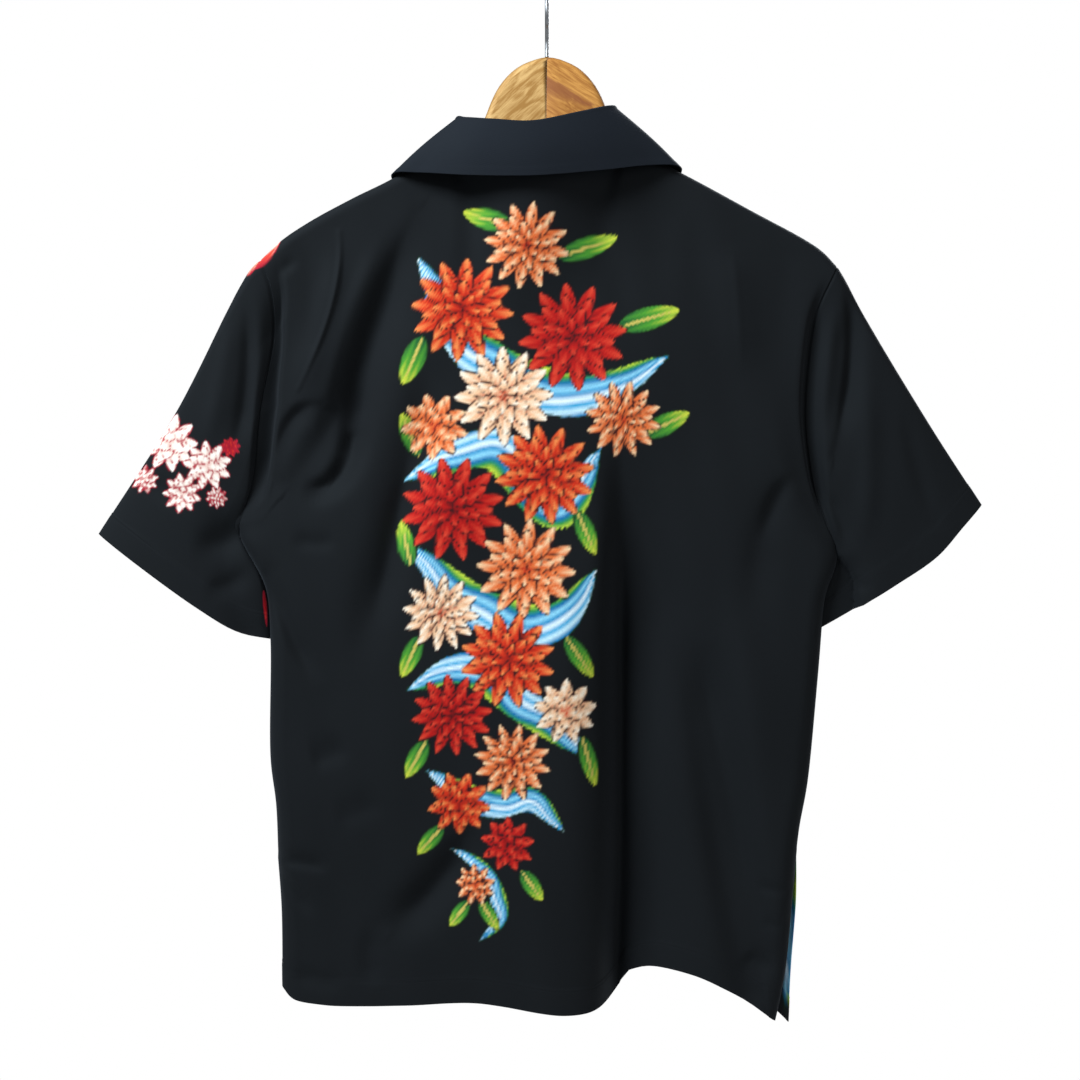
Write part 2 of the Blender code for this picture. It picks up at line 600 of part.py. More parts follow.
def sleeve_piece(name, side_u, edges, folds, finish, whole):
    """A flattened tube from the armhole seam to the hem, each ring running from the top fold round
    the back to the underarm and round the front to the top again."""
    along = SLEEVE_RINGS
    outward = 1 if side_u == 0 else -1
    seam_v = ARM_ROWS[::-1]
    share = (1 - seam_v) / (1 - V_UNDERARM)
    bulge = np.sqrt(1 - (1 - 2 * share) ** 2)[:, None]
    last = len(share) - 1
    top, under = smooth_curve(edges["top"]), smooth_curve(edges["under"])
    surfaces, seam_normals = [], []
    for panel, hem_name, sign in ((BACK, "back_hem", 1), (FRONT, "front_hem", -1)):
        seam = (panel.left if side_u == 0 else panel.right)(seam_v)
        seam[:, 0] += outward * ARMHOLE_GAP
        seam[0], seam[-1] = edges["top"][0], edges["under"][0]
        flat = patch(top, under, curve_of(share, seam), smooth_curve(edges[hem_name]), along, share)
        place = pushed(flat)
        column = np.array([float(side_u)])
        seam_y = panel.surface(column, seam_v)[:, :, 1]
        seam_y[[0, -1]] = 0
        hem_y = sign * SLEEVE_HEM_DEPTH * bulge
        lift = fold_height(folds, place[..., 0], place[..., 1]) * smooth_step(along / SLEEVE_FOLD_START)
        y = seam_y * (1 - along) + hem_y * along + sign * lift * np.sqrt(bulge)
        surfaces.append(np.stack([place[..., 0], y, place[..., 1]], axis=-1))
        seam_normals.append(panel.normals(column, seam_v)[:, 0])
    outer, first = (np.concatenate([back, front[-2:0:-1]]) for back, front in (surfaces, seam_normals))
    outer = outer.transpose(1, 0, 2)
    first[[0, last], 1] = 0
    normals = grid_normals(outer, ring=True)
    if (normals[1:3] * first).sum() < 0:
        normals = -normals
    normals[0] = first / np.linalg.norm(first, axis=-1, keepdims=True)
    cloth_piece(name, outer, normals, finish, whole, ring=True)


def curve_of(share, points):
    """The points as a function of the share they are given at."""
    return lambda at: np.stack([np.interp(at, share, column) for column in points.T], axis=-1)


def make_sleeves(finish, whole):
    sleeve_piece("sleeve_left", 0, SLEEVE_LEFT, SLEEVE_FOLDS_LEFT, finish, whole)
    sleeve_piece("sleeve_right", 1, SLEEVE_RIGHT, SLEEVE_FOLDS_RIGHT, finish, whole)


def neck_seam():
    """The neck seam from the wearer's left front round the back to the right front: the share of the
    way at each grid line of the panels, in quarters, and the places. It is 0 at the front's middle,
    1 where the left shoulder seam ends, 3 at the right one and 4 at the front's middle again."""
    middle = (U_NECK_LEFT + U_NECK_RIGHT) / 2
    front, back = (
        columns[(columns > U_NECK_LEFT - TINY) & (columns < U_NECK_RIGHT + TINY)]
        for columns in (FRONT_COLUMNS, BACK_COLUMNS)
    )
    half = middle - U_NECK_LEFT
    top = np.array([1.0])
    stretches = (
        (FRONT, front[front <= middle + TINY][::-1], lambda u: (middle - u) / half),
        (BACK, back, lambda u: 1 + (u - U_NECK_LEFT) / half),
        (FRONT, front[front >= middle - TINY][::-1], lambda u: 3 + (U_NECK_RIGHT - u) / half),
    )
    shares = np.concatenate([share(u) for _, u, share in stretches])
    places = np.concatenate([panel.surface(u, top)[0] for panel, u, _ in stretches])
    places[:, 1] = np.where(np.abs(places[:, 1]) < 2 * HALF_GAP, 0, places[:, 1])
    shares, first = np.unique(shares.round(9), return_index=True)
    return shares, places[first]


def make_collar(finish, whole):
    """Stand, roll and fall as one folded strip, from station to station round the neck."""
    key = np.array(column_of(COLLAR, "seam"))
    shares, places = neck_seam()
    halfway = (shares[1:] + shares[:-1]) / 2
    wide = np.diff(shares) > COLLAR_STEP
    stations = np.sort(np.concatenate([shares[1:-1], halfway[wide], key[[0, -1]]]))
    seams = curve_of(shares, places)(stations)
    rolls, edges = (through(key, column_of(COLLAR, name), stations) for name in ("roll", "edge"))
    section_rows = []
    for seam, roll, edge in zip(seams, rolls, edges):
        out = np.array([roll[0] - CENTRE_X, roll[1] * COLLAR_FACING, 0])
        out /= np.linalg.norm(out)
        seam = seam - out * WALL + (0, 0, STAND_GAP)
        inner, outer = roll - out * COLLAR_ROLL, roll + out * COLLAR_ROLL
        section = [seam, (seam + inner) / 2]
        for angle in np.linspace(np.pi, 0, 4):
            section.append(roll + COLLAR_ROLL * (np.cos(angle) * out + (0, 0, np.sin(angle))))
        for down in (0.3, 0.65, 1.0):
            section.append(outer + (edge - outer) * down + out * COLLAR_BOW * np.sin(np.pi * down))
        section_rows.append(section)
    grid = np.array(section_rows)
    normals = grid_normals(grid)
    middle_row = normals[len(normals) // 2, -1]
    cloth_piece("collar", grid, normals * np.sign(middle_row[1]), finish, whole)


def through(key, rows, at):
    """A smooth curve through table rows that keeps each row at its own key."""
    rows = np.array(rows, float).reshape(len(key), -1)
    slope = np.gradient(rows, key, axis=0)
    span = np.clip(np.searchsorted(key, at, side="right") - 1, 0, len(key) - 2)
    width = (key[span + 1] - key[span])[:, None]
    t = ((at - key[span])[:, None]) / width
    h00, h10 = 2 * t**3 - 3 * t**2 + 1, t**3 - 2 * t**2 + t
    h01, h11 = -2 * t**3 + 3 * t**2, t**3 - t**2
    leaving, arriving = h10 * width * slope[span], h11 * width * slope[span + 1]
    return h00 * rows[span] + leaving + h01 * rows[span + 1] + arriving


# ----------------------------------------------------------------------------- the hanger


def hanger_outline(lean):
    """One half of the hanger, as (x from the middle, z) from the hump's top down. The hump reaches
    "lean" farther on this side."""
    hump = smooth_curve([(0, HUMP_TOP_Z)] + [(x + lean, z) for x, z in HUMP])
    return [*hump(np.linspace(0, 1, HUMP_POINTS))] + ARM_TOP + ARM_TIP + ARM_LOW


def make_hanger(finish, whole):
    """Two halves cut from flat board, their edges rounded, which meet at the middle."""
    for name, side in (("hanger_left", 1), ("hanger_right", -1)):
        outline = [(max(x, HALF_GAP), z) for x, z in hanger_outline(-side * HUMP_LEAN)]
        mesh = bpy.data.meshes.new(name)
        shape = bmesh.new()
        half = HANGER_THICK / 2
        verts = [shape.verts.new((side * x * MM, -half * MM, z * MM)) for x, z in outline]
        face = shape.faces.new(verts)
        raised = bmesh.ops.extrude_face_region(shape, geom=[face])["geom"]
        moved = [item for item in raised if isinstance(item, bmesh.types.BMVert)]
        bmesh.ops.translate(shape, verts=moved, vec=(0, HANGER_THICK * MM, 0))
        bmesh.ops.recalc_face_normals(shape, faces=shape.faces)
        rims = [
            edge
            for edge in shape.edges
            if abs(edge.verts[0].co.y - edge.verts[1].co.y) < TINY
            and max(abs(vert.co.x) for vert in edge.verts) > SEAM_GAP * MM
        ]
        rounding = {"offset": HANGER_EDGE * MM, "segments": 3, "profile": 0.5, "affect": "EDGES"}
        bmesh.ops.bevel(shape, geom=rims, clamp_overlap=True, **rounding)
        pivot = (0, 0, HUMP_TOP_Z * MM)
        tilt = Matrix.Rotation(-HANGER_TILT, 3, "Y")
        bmesh.ops.rotate(shape, verts=shape.verts, cent=pivot, matrix=tilt)
        shape.to_mesh(mesh)
        shape.free()
        add_object(name, mesh, finish, whole)


def make_hook(finish, whole):
    """A wire hook whose loop stands across the hanger, with the rail's place inside its top."""
    centre_z = HOOK_WIRE - HOOK_RADIUS
    turn = np.linspace(HOOK_START, HOOK_END, 22)
    loop = [(0, HOOK_RADIUS * math.cos(a), centre_z + HOOK_RADIUS * math.sin(a)) for a in turn]
    stem = [(0, y, HUMP_TOP_Z + height) for y, height in HOOK_STEM]
    route = smooth_curve(stem + loop)(np.linspace(0, 1, 32))
    wire = bpy.data.curves.new("hook", "CURVE")
    wire.dimensions = "3D"
    wire.bevel_depth = HOOK_WIRE * MM
    wire.bevel_resolution = 2
    wire.use_fill_caps = True
    spline = wire.splines.new("POLY")
    spline.points.add(len(route) - 1)
    for point, place in zip(spline.points, route * MM):
        point.co = (*place, 1)
    add_object("hook", wire, finish, whole)


def main():
    for obj in list(bpy.data.objects):
        bpy.data.objects.remove(obj)
    whole = bpy.data.objects.new("polo_shirt_on_hanger", None)
    bpy.context.scene.collection.objects.link(whole)
    cloth = material("woven cloth", CLOTH_COLOUR, 0.8)
    wood = material("varnished wood", WOOD_COLOUR, 0.45)
    steel = material("steel wire", STEEL_COLOUR, 0.35, 1.0)
    horn = material("button resin", BUTTON_COLOUR, 0.35)
    make_back(cloth, whole)
    make_front(cloth, whole)
    make_placket(cloth, whole)
    make_buttons(horn, whole)
    make_sleeves(cloth, whole)
    make_collar(cloth, whole)
    make_hanger(wood, whole)
    make_hook(steel, whole)


main()
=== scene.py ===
# %% [markdown]
# # A short-sleeved polo shirt on a wooden hanger
#
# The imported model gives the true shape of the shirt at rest: back, front, placket bands, collar,
# sleeves, buttons, and a wooden hanger with its wire hook. This script dresses it. Each cloth piece
# is drawn again as a thin shell on the same surface as its solid, with a finer grid, so that the
# small creases, hems and seams have room. Lengths are in millimetres until a mesh is made.

# %% Load the frame
import math
from collections import namedtuple

import bpy
import numpy as np
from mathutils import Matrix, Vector


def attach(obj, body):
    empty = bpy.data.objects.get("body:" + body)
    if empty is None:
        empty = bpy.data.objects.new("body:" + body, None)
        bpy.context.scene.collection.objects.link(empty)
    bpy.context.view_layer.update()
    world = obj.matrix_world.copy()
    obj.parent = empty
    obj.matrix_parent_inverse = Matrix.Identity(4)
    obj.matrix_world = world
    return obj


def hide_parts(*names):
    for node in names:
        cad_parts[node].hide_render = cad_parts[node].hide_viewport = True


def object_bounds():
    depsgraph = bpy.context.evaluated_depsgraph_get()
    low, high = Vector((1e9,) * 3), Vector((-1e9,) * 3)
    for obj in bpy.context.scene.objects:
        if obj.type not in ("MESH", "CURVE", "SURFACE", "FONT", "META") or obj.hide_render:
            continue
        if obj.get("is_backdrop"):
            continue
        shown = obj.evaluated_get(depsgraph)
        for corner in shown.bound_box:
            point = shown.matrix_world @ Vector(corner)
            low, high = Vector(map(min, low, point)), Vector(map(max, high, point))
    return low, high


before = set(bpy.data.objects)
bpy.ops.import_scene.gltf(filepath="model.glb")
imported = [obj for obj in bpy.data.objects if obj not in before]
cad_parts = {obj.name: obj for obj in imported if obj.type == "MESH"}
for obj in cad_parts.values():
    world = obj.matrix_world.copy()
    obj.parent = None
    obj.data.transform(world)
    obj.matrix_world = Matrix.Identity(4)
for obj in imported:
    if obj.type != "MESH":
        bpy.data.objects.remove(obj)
cad_box = [[float(value) for value in corner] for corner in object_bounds()]
MM = 0.001
print("the frame's box in metres:", cad_box)

# %% [markdown]
# ## Helpers
#
# Colours are written as the sRGB hex values that a picture editor shows, and turned to the linear
# values that the renderer works in. One small function adds a shader node, sets its values and links
# its inputs, which keeps each material short enough to read as a recipe. Other small ones add an
# object, make it the active one, and say which solids it stands for.


# %% Colour and node helpers
def linear(code):
    """An sRGB hex colour as linear RGBA."""
    values = [int(code[i : i + 2], 16) / 255 for i in (1, 3, 5)]
    return tuple(v / 12.92 if v < 0.04045 else ((v + 0.055) / 1.055) ** 2.4 for v in values) + (1.0,)


def node(tree, kind, inputs=None, **properties):
    """Adds a shader node, sets its properties, and gives each named input a value or a link. A node
    given as an input stands for its first output."""
    made = tree.nodes.new("ShaderNode" + kind)
    for name, value in properties.items():
        setattr(made, name, value)
    for name, value in (inputs or {}).items():
        if isinstance(value, bpy.types.Node):
            value = value.outputs[0]
        if isinstance(value, bpy.types.NodeSocket):
            tree.links.new(value, made.inputs[name])
        else:
            made.inputs[name].default_value = value
    return made


def new_material(name, values):
    """A material with a Principled shader, with its node tree and its shader to build on."""
    made = bpy.data.materials.new(name)
    made.use_nodes = True
    tree = made.node_tree
    shader = tree.nodes["Principled BSDF"]
    for key, value in values.items():
        shader.inputs[key].default_value = value
    return made, tree, shader


# %% Object helpers
def added(name, data):
    """A new object with this data, in the scene."""
    made = bpy.data.objects.new(name, data)
    bpy.context.scene.collection.objects.link(made)
    return made


def pick(*objects):
    """Selects these objects alone, and makes the first one active."""
    bpy.ops.object.select_all(action="DESELECT")
    for chosen in objects:
        chosen.select_set(True)
    bpy.context.view_layer.objects.active = objects[0]


def stand_for(piece, slot, *nodes):
    """The piece takes the place of its solids and rides with the shirt. Its slot is not used."""
    if nodes:
        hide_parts(*nodes)
    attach(piece, "root")


# %% [markdown]
# ## Camera and light
#
# The photograph looks straight at the back of the shirt from about the middle of its height, so the
# camera stands on +Y and looks along -Y. The distance and the lens together give the picture's width
# of 0.95 m at the hanger. The light is a softbox from the upper left with a slight blue cast, a weaker
# fill from the other side, and a third softbox that lights the front for whoever walks round the
# shirt. The surround shows pure white to the camera but lights the shirt gently, as a cut-out studio
# backdrop does.

# %% Camera
CAMERA_PLACE = (0.00616, 1.4, -0.477)
LENS, SENSOR = 53.03, 36.0

eye = bpy.data.cameras.new("camera")
eye.lens, eye.sensor_width = LENS, SENSOR
camera = added("camera", eye)
camera.location = CAMERA_PLACE
camera.rotation_euler = (math.radians(90), 0, math.radians(180))
bpy.context.scene.camera = camera
print("width of the picture at the hanger:", round(CAMERA_PLACE[1] * SENSOR / LENS, 4), "m")


# %% Lights and surround
def softbox(name, place, aim, size, power, colour):
    """A square area light that faces a point of the shirt."""
    lamp = bpy.data.lights.new(name, "AREA")
    lamp.shape, lamp.size, lamp.energy, lamp.color = "SQUARE", size, power, colour
    box = added(name, lamp)
    box.location = place
    box.rotation_euler = (Vector(aim) - Vector(place)).to_track_quat("-Z", "Y").to_euler()


MIDDLE = (0, 0, -0.45)
softbox("key", (1.19, 1.0, 0.99), MIDDLE, 0.85, 78, (0.85, 0.93, 1.0))
softbox("fill", (-1.7, 1.6, 0.2), MIDDLE, 1.4, 13, (1.0, 0.97, 0.95))
softbox("front", (-0.9, -1.5, 0.7), MIDDLE, 1.1, 55, (0.95, 0.97, 1.0))

world = bpy.data.worlds.new("studio")
world.use_nodes = True
bpy.context.scene.world = world
surround = world.node_tree
plain = surround.nodes["Background"]
plain.inputs["Color"].default_value = (0.93, 0.96, 1.0, 1.0)
plain.inputs["Strength"].default_value = 0.18
white = node(surround, "Background", {"Color": (1, 1, 1, 1), "Strength": 1.0})
seen = node(surround, "LightPath")
either = node(surround, "MixShader", {0: seen.outputs["Is Camera Ray"], 1: plain, 2: white})
surround.links.new(either.outputs[0], surround.nodes["World Output"].inputs["Surface"])
bpy.context.scene.view_settings.view_transform = "Standard"

# %% Floor
FLOOR_Z, FLOOR_RADIUS = -1.6, 1.7

disc = {"vertices": 96, "radius": FLOOR_RADIUS, "fill_type": "NGON"}
bpy.ops.mesh.primitive_circle_add(location=(0, 0, FLOOR_Z), **disc)
floor = bpy.context.object
floor.name = "floor"
paint = {"Base Color": linear("#e6e7e8"), "Roughness": 0.8}
floor.data.materials.append(new_material("matt white floor paint", paint)[0])
floor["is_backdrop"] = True
print("the floor lies", -FLOOR_Z, "m below the hook's inner top")

# %% [markdown]
# ## The numbers of the cloth
#
# A shirt is cut from flat pieces, and each cut edge keeps its length however the cloth hangs. So every
# piece here is a patch drawn between its cut edges as the photograph shows them, in x across and z up,
# and a height out of that plane. The tables hold the edges as a few points each, and a smooth curve
# runs through them. What changes from place to place is a table from one value to the other.

# %% Allowances and rolls
CLOTH_THICK = 0.8
COLLAR_THICK = 1.1
SEAM_GAP = 0.3
HALF_GAP = SEAM_GAP / 2
ARMHOLE_GAP = 0.6
FOLD_FADE = 0.35  # the share of a fold's length over which it rises or fades at an end
FOLD_STEPS = 17
WAVES = ((150, 0.9), (96, 0.6), (61, 0.35), (38, 0.16))  # the length and rise of the cloth's unevenness
TINY = 1e-6

# A panel's v runs from the hem (0) to the shoulder (1), its u from the wearer's left to the right
V_VENT = 0.20
V_UNDERARM = 0.62
V_PLACKET = 0.775
U_NECK_LEFT = 0.323
U_NECK_RIGHT = 0.637
SHOULDER_ROLL = 9.0
SIDE_ROLL = 16.0
ARMHOLE_ROLL = 34.0
ARMHOLE_START, ARMHOLE_BLEND = 0.02, 0.09  # from how far below the underarm the soft run takes over
SIDE_SHARE = 0.62  # how much of its fullness a panel keeps towards the sides
NECK_HALF_DEPTH = 32.0
NECK_ROUND = 0.5
NECK_FALL = {"back": 150.0, "front": 95.0}  # how far below the seam the cloth has left the neck's oval
NECK_SOFTEN, SOFTEN_FALL = 1.6, 47.5  # how much rounder the oval becomes below the seam, and how soon
CENTRE_X = 9.0

# %% Cut edges of the body, as (x, z)
SHOULDER_LEFT = [
    (251, -230.5), (233, -213.5), (209, -197.3), (170, -176.2), (137, -160), (88, -131),
]  # fmt: skip
SHOULDER_RIGHT = [(-70, -129.5), (-126, -158.5), (-176, -185.5), (-239, -221), (-254, -236)]
ARMHOLE_LEFT = [
    (257, -478), (258, -445), (255, -407), (250, -359), (239, -298), (241, -257), (251, -230.5),
]  # fmt: skip
ARMHOLE_RIGHT = [
    (-244, -492), (-240, -457), (-232, -421), (-226, -374), (-228, -324), (-236, -276), (-254, -236),
]  # fmt: skip
SIDE_LEFT = [
    (236, -756), (238, -709), (243, -668), (243, -567), (246, -523), (252, -500), (257, -478),
]  # fmt: skip
SIDE_RIGHT = [
    (-219, -751), (-222, -728), (-229, -690), (-237, -609), (-241.5, -553), (-243, -520), (-244, -492),
]  # fmt: skip
BACK_VENT_LEFT = [(231, -866), (232.5, -800), (236, -756)]
BACK_VENT_RIGHT = [(-199, -897), (-208, -856), (-215, -793), (-219, -751)]
FRONT_VENT_LEFT = [(229, -862), (231, -800), (236, -756)]
FRONT_VENT_RIGHT = [(-213, -903), (-215, -856), (-219, -793), (-219, -751)]
BACK_NECK = [(88, -131), (60, -141), (CENTRE_X, -146), (-42, -140), (-70, -129.5)]
FRONT_NECK = [(88, -131), (64, -168), (CENTRE_X, -203), (-46, -168), (-70, -129.5)]

# Hems, as (x, z)
BACK_HEM = [
    (231, -866), (220, -875), (195, -879), (150, -879.5), (68, -875.5), (40, -877.5), (9, -882),
    (-17, -884.5), (-40, -883.5), (-56, -879), (-64, -871), (-69, -860), (-77, -855), (-92, -851.5),
    (-132, -857.5), (-165, -873.5), (-186, -887), (-199, -897.5),
]  # fmt: skip
FRONT_HEM = [
    (229, -862), (195, -868), (120, -868), (60, -866), (0, -866), (-50, -852), (-90, -838), (-132, -843),
    (-170, -868), (-213, -903),
]  # fmt: skip

# %% How the columns hang, and how far the cloth stands out
# Which x of the hem each column of a panel ends at, by its u, so that the columns hang straight
HEM_COLUMNS_BACK = {0: 231, U_NECK_LEFT: 88, U_NECK_RIGHT: -66, 1: -199}
HEM_COLUMNS_FRONT = {0: 229, U_NECK_LEFT: 88, U_NECK_RIGHT: -70, 1: -213}

# How far each panel stands out, by its z, and how far its armhole edge does, by its v
FULLNESS = {
    "back": {-900: 32, -700: 30, -560: 26, -430: 22, -320: 17, -230: 13, -140: 12},
    "front": {-900: 28, -700: 27, -560: 24, -430: 20, -320: 16, -230: 13, -140: 12},
}
ARMHOLE_DEPTH = {0.62: 0, 0.64: 6.2, 0.68: 8.5, 0.76: 11.5, 0.9: 12.5, 1: 11.5}
VENT_OPEN = 7.0

# How deep the cloth sinks along the armhole, how far out on the sleeve, and how flat the trough's
# floor is: wearer's left, right. The left one's lowest line runs inside the seam, on the body.
SEAM_SINK = (11.0, 10.0)
SLEEVE_SINK_WIDE = (15.0, 17.0)
SINK_FLATNESS = (2, 3)
BODY_SINK_WIDE = 3.6
FRONT_SINK_SHARE = 0.5
SINK_LOW, SINK_LOW_BLEND = 0.65, 0.08  # the v where the trough starts, above the underarm
SINK_HIGH, SINK_HIGH_BLEND = 0.985, 0.09  # and the v where it ends, below the shoulder
LEFT_LOWEST_LINE = {0.62: 0, 0.67: 10, 0.79: 12, 0.9: 4, 1: 8}


def read(table, at):
    """The value of a table at a key, or between two of its keys."""
    return np.interp(at, list(table), list(table.values()))


# %% [markdown]
# ## Folds and creases
#
# A fold is a path through three places with a depth, a width to either side of the path, and the share
# of its depth that it keeps at its two ends, if any. The main folds are those of the solids. The
# creases are the smaller ones that hanging cloth gets: where it is pulled from the shoulder to the side,
# where the sleeve's weight drags on the armhole, and above the hem, where folding has left its marks.

# %% Main folds
Fold = namedtuple("Fold", "name start middle end depth left right keep_start keep_end", defaults=(0, 0))
BACK_FOLDS = [
    Fold("main_fold", (-66, -350), (-68, -640), (-63, -890), -36, 14, 58, 0, 1),
    Fold("main_lobe", (-8, -480), (-20, -680), (-22, -890), 9, 62, 34, 0, 1),
    Fold("left_sweep", (113, -185), (166, -335), (222, -428), -10, 15, 24, 0, 0.3),
    Fold("left_sweep_ridge", (182, -200), (194, -292), (216, -352), 4, 11, 12),
    Fold("middle_sweep", (92, -298), (133, -462), (166, -600), -8, 16, 20),
    Fold("low_sweep", (60, -722), (102, -779), (146, -818), -8, 16, 20),
    Fold("right_run", (-125, -545), (-143, -690), (-176, -870), -10, 16, 18, 0, 0.6),
    Fold("right_armpit", (-217, -428), (-190, -470), (-180, -560), -4, 13, 19, 0.2),
    Fold("right_blade_ridge", (-160, -215), (-166, -270), (-173, -340), 2.4, 16, 16),
]
FRONT_FOLDS = [
    Fold("front_main", (60, -400), (70, -650), (66, -890), -14, 30, 18, 0, 1),
    Fold("front_right_run", (-110, -470), (-120, -680), (-104, -880), -12, 18, 26, 0, 1),
    Fold("front_left_sweep", (105, -270), (168, -370), (224, -440), -6, 15, 22, 0, 0.3),
    Fold("front_right_sweep", (-95, -270), (-158, -370), (-214, -450), -8, 15, 22, 0, 0.3),
    Fold("front_low_lobe", (-30, -600), (-40, -760), (-40, -880), 6, 40, 40, 0, 1),
]

# Where the hanging cloth is pushed sideways, body and sleeve together: the corners under the arms
Push = namedtuple("Push", "name centre by radius")
PUSHES = [
    Push("left_underarm", (258, -472), (13, 2), 28),
    Push("right_underarm", (-245, -492), (-11, 0), 26),
]

# %% Creases of the back and the front
BACK_CREASES = [
    Fold("sweep_core", (112, -192), (160, -302), (173, -394), -6.6, 7, 15, 0.1, 0.5),
    Fold("sweep_deep", (168, -330), (170, -380), (184, -418), -6, 8, 12, 0, 0.5),
    Fold("sweep_hook", (171, -390), (186, -424), (216, -433), -8, 7, 12, 0.5),
    Fold("sweep_crest", (132, -190), (180, -302), (192, -382), 2, 8, 6),
    Fold("sweep_branch", (198, -361), (225, -374), (239, -422), -5, 5, 13, 0.3, 0.3),
    Fold("ridge_core", (181.5, -208), (187.5, -272), (217, -346), 2.5, 2.4, 2.2, 0.3, 0.3),
    Fold("shoulder_tuck", (244, -258), (235, -244), (216, -230), -4.5, 5, 6, 0.5),
    Fold("middle_core", (112, -380), (136, -478), (150, -560), -4, 7, 15),
    Fold("underarm_drag", (224, -474), (202, -480), (180, -476), -1.8, 7, 8),
    Fold("underarm_fall", (243, -508), (224, -556), (198, -606), -4.6, 6, 10, 0.4),
    Fold("flank_dent", (206, -669), (190, -664), (168, -655), -3, 9, 14),
    Fold("flank_faint", (186, -717), (164, -712), (140, -699), -2.2, 10, 14),
    Fold("low_core", (58, -716), (90, -768), (126, -810), -4.4, 10, 15, 0.4, 0.4),
    Fold("low_turn", (148, -812), (154, -838), (146, -866), -3.2, 9, 11, 0.4),
    Fold("vent_high", (237, -757), (212, -757), (186, -764), -2.8, 5, 8, 0.6),
    Fold("vent_low", (236, -763), (220, -782), (202, -806), -2.6, 6, 8, 0.6),
    Fold("hem_dent", (226, -856), (200, -858), (172, -864), -2.4, 8, 9, 0.2),
    Fold("lobe_turn", (-56, -460), (-61, -650), (-57, -885), -12, 34, 13, 0, 1),
    Fold("run_slope", (-140, -480), (-160, -680), (-186, -850), -9, 34, 18, 0, 0.5),
    Fold("run_core", (-134, -562), (-156, -668), (-190, -838), -6.5, 11, 15, 0, 0.4),
    Fold("armpit_core", (-216, -424), (-197, -442), (-187, -486), -3.2, 5, 9, 0.2),
    Fold("blade_core", (-161, -214), (-166, -272), (-170, -340), 0.8, 3, 3),
    Fold("right_small_high", (-181, -777), (-197, -781), (-213, -781), -1.8, 5, 6, 0, 0.4),
    Fold("right_small_low", (-186, -809), (-198, -812), (-210, -813), -1.6, 5, 6, 0, 0.4),
    Fold("right_hem_dent", (-170, -838), (-184, -846), (-200, -846), -3, 9, 9),
    Fold("neck_left_pull", (40, -168), (62, -214), (74, -280), -1.2, 12, 14),
    Fold("neck_right_pull", (-36, -166), (-58, -226), (-66, -318), -1.2, 12, 14),
    Fold("shoulder_faint", (-118, -172), (-116, -230), (-108, -300), 0.8, 14, 14),
]
FRONT_CREASES = [
    Fold("left_pull_core", (106, -268), (160, -372), (222, -444), -1.6, 5, 9, 0, 0.4),
    Fold("left_pull_branch", (180, -346), (208, -378), (236, -418), -1.4, 4, 7, 0, 0.4),
    Fold("right_pull_core", (-95, -268), (-156, -368), (-212, -446), -3.4, 5, 9, 0, 0.4),
    Fold("right_pull_branch", (-176, -344), (-204, -376), (-226, -414), -2.5, 4, 7, 0, 0.4),
    Fold("left_underarm", (232, -512), (214, -556), (204, -612), -3.1, 4, 7, 0.4),
    Fold("right_underarm", (-228, -516), (-210, -566), (-202, -628), -3.1, 4, 8, 0.4),
    Fold("main_core", (62, -430), (70, -640), (66, -850), -2.8, 6, 9, 0, 0.6),
    Fold("right_run_core", (-110, -500), (-119, -680), (-106, -860), -2.8, 5, 9, 0, 0.6),
    Fold("flank_mark", (196, -690), (168, -682), (138, -664), -2.4, 5, 6),
    Fold("hem_mark", (150, -812), (120, -796), (92, -770), -2.5, 5, 7),
    Fold("vent_left", (234, -760), (212, -776), (190, -806), -2.8, 4, 6, 0.5),
    Fold("vent_right", (-218, -754), (-198, -768), (-176, -798), -2.8, 4, 6, 0.5),
    Fold("placket_left", (26, -330), (44, -392), (78, -450), -2, 8, 10),
    Fold("placket_right", (-12, -336), (-34, -400), (-70, -456), -2, 8, 10),
]

# %% [markdown]
# ## Sleeves and collar
#
# A set-in sleeve hangs as a flattened tube: its top folds over the shoulder's line, its underarm edge
# drops from the armpit, and the weight of the cloth draws the cap down into soft troughs. The collar is
# one folded strip of a firmer cloth. Its stand follows the neck seam, its fall drops outside it, and
# both are given as places of the roll and the edge at stations round the neck.

# %% Sleeve tables
SLEEVE_LEFT = {
    "top": [(251.5, -230.8), (260, -239), (270, -255), (280.5, -275), (326, -364.5), (394, -471.5)],
    "under": [(257.4, -479.4), (251.8, -501), (245.4, -524), (242.4, -564)],
    "back_hem": [(394, -471.5), (303, -537.5), (269, -558), (242.4, -564)],
    "front_hem": [(394, -471.5), (307, -530), (272, -549), (242.4, -564)],
}
SLEEVE_RIGHT = {
    "top": [(-254.4, -236.4), (-262, -249), (-279.5, -281.5), (-336, -375), (-382, -446)],
    "under": [(-244.2, -493.4), (-242.6, -520), (-241.0, -554)],
    "back_hem": [(-382, -446), (-363, -466), (-339, -492), (-301, -518), (-271, -536.5), (-241.0, -554)],
    "front_hem": [(-382, -446), (-356, -464), (-330, -486), (-296, -509), (-268, -528), (-241.0, -554)],
}
SLEEVE_HEM_DEPTH = 17.0
SLEEVE_FOLD_START = 0.15
SLEEVE_FOLDS_LEFT = [
    Fold("cap_trough", (262, -262), (262, -340), (276, -410), -3.5, 12, 14),
    Fold("under_sink", (290, -440), (278, -500), (262, -556), -5, 14, 16, 0, 1),
]
SLEEVE_FOLDS_RIGHT = [
    Fold("cap_trough", (-258, -254), (-259, -330), (-249, -392), -5, 12, 12),
    Fold("under_sink", (-256, -490), (-262, -515), (-262, -545), -7, 12, 14, 0.3, 1),
    Fold("under_hollow", (-256, -496), (-267, -520), (-266, -548), -15, 24, 3.2, 0.5, 1),
]
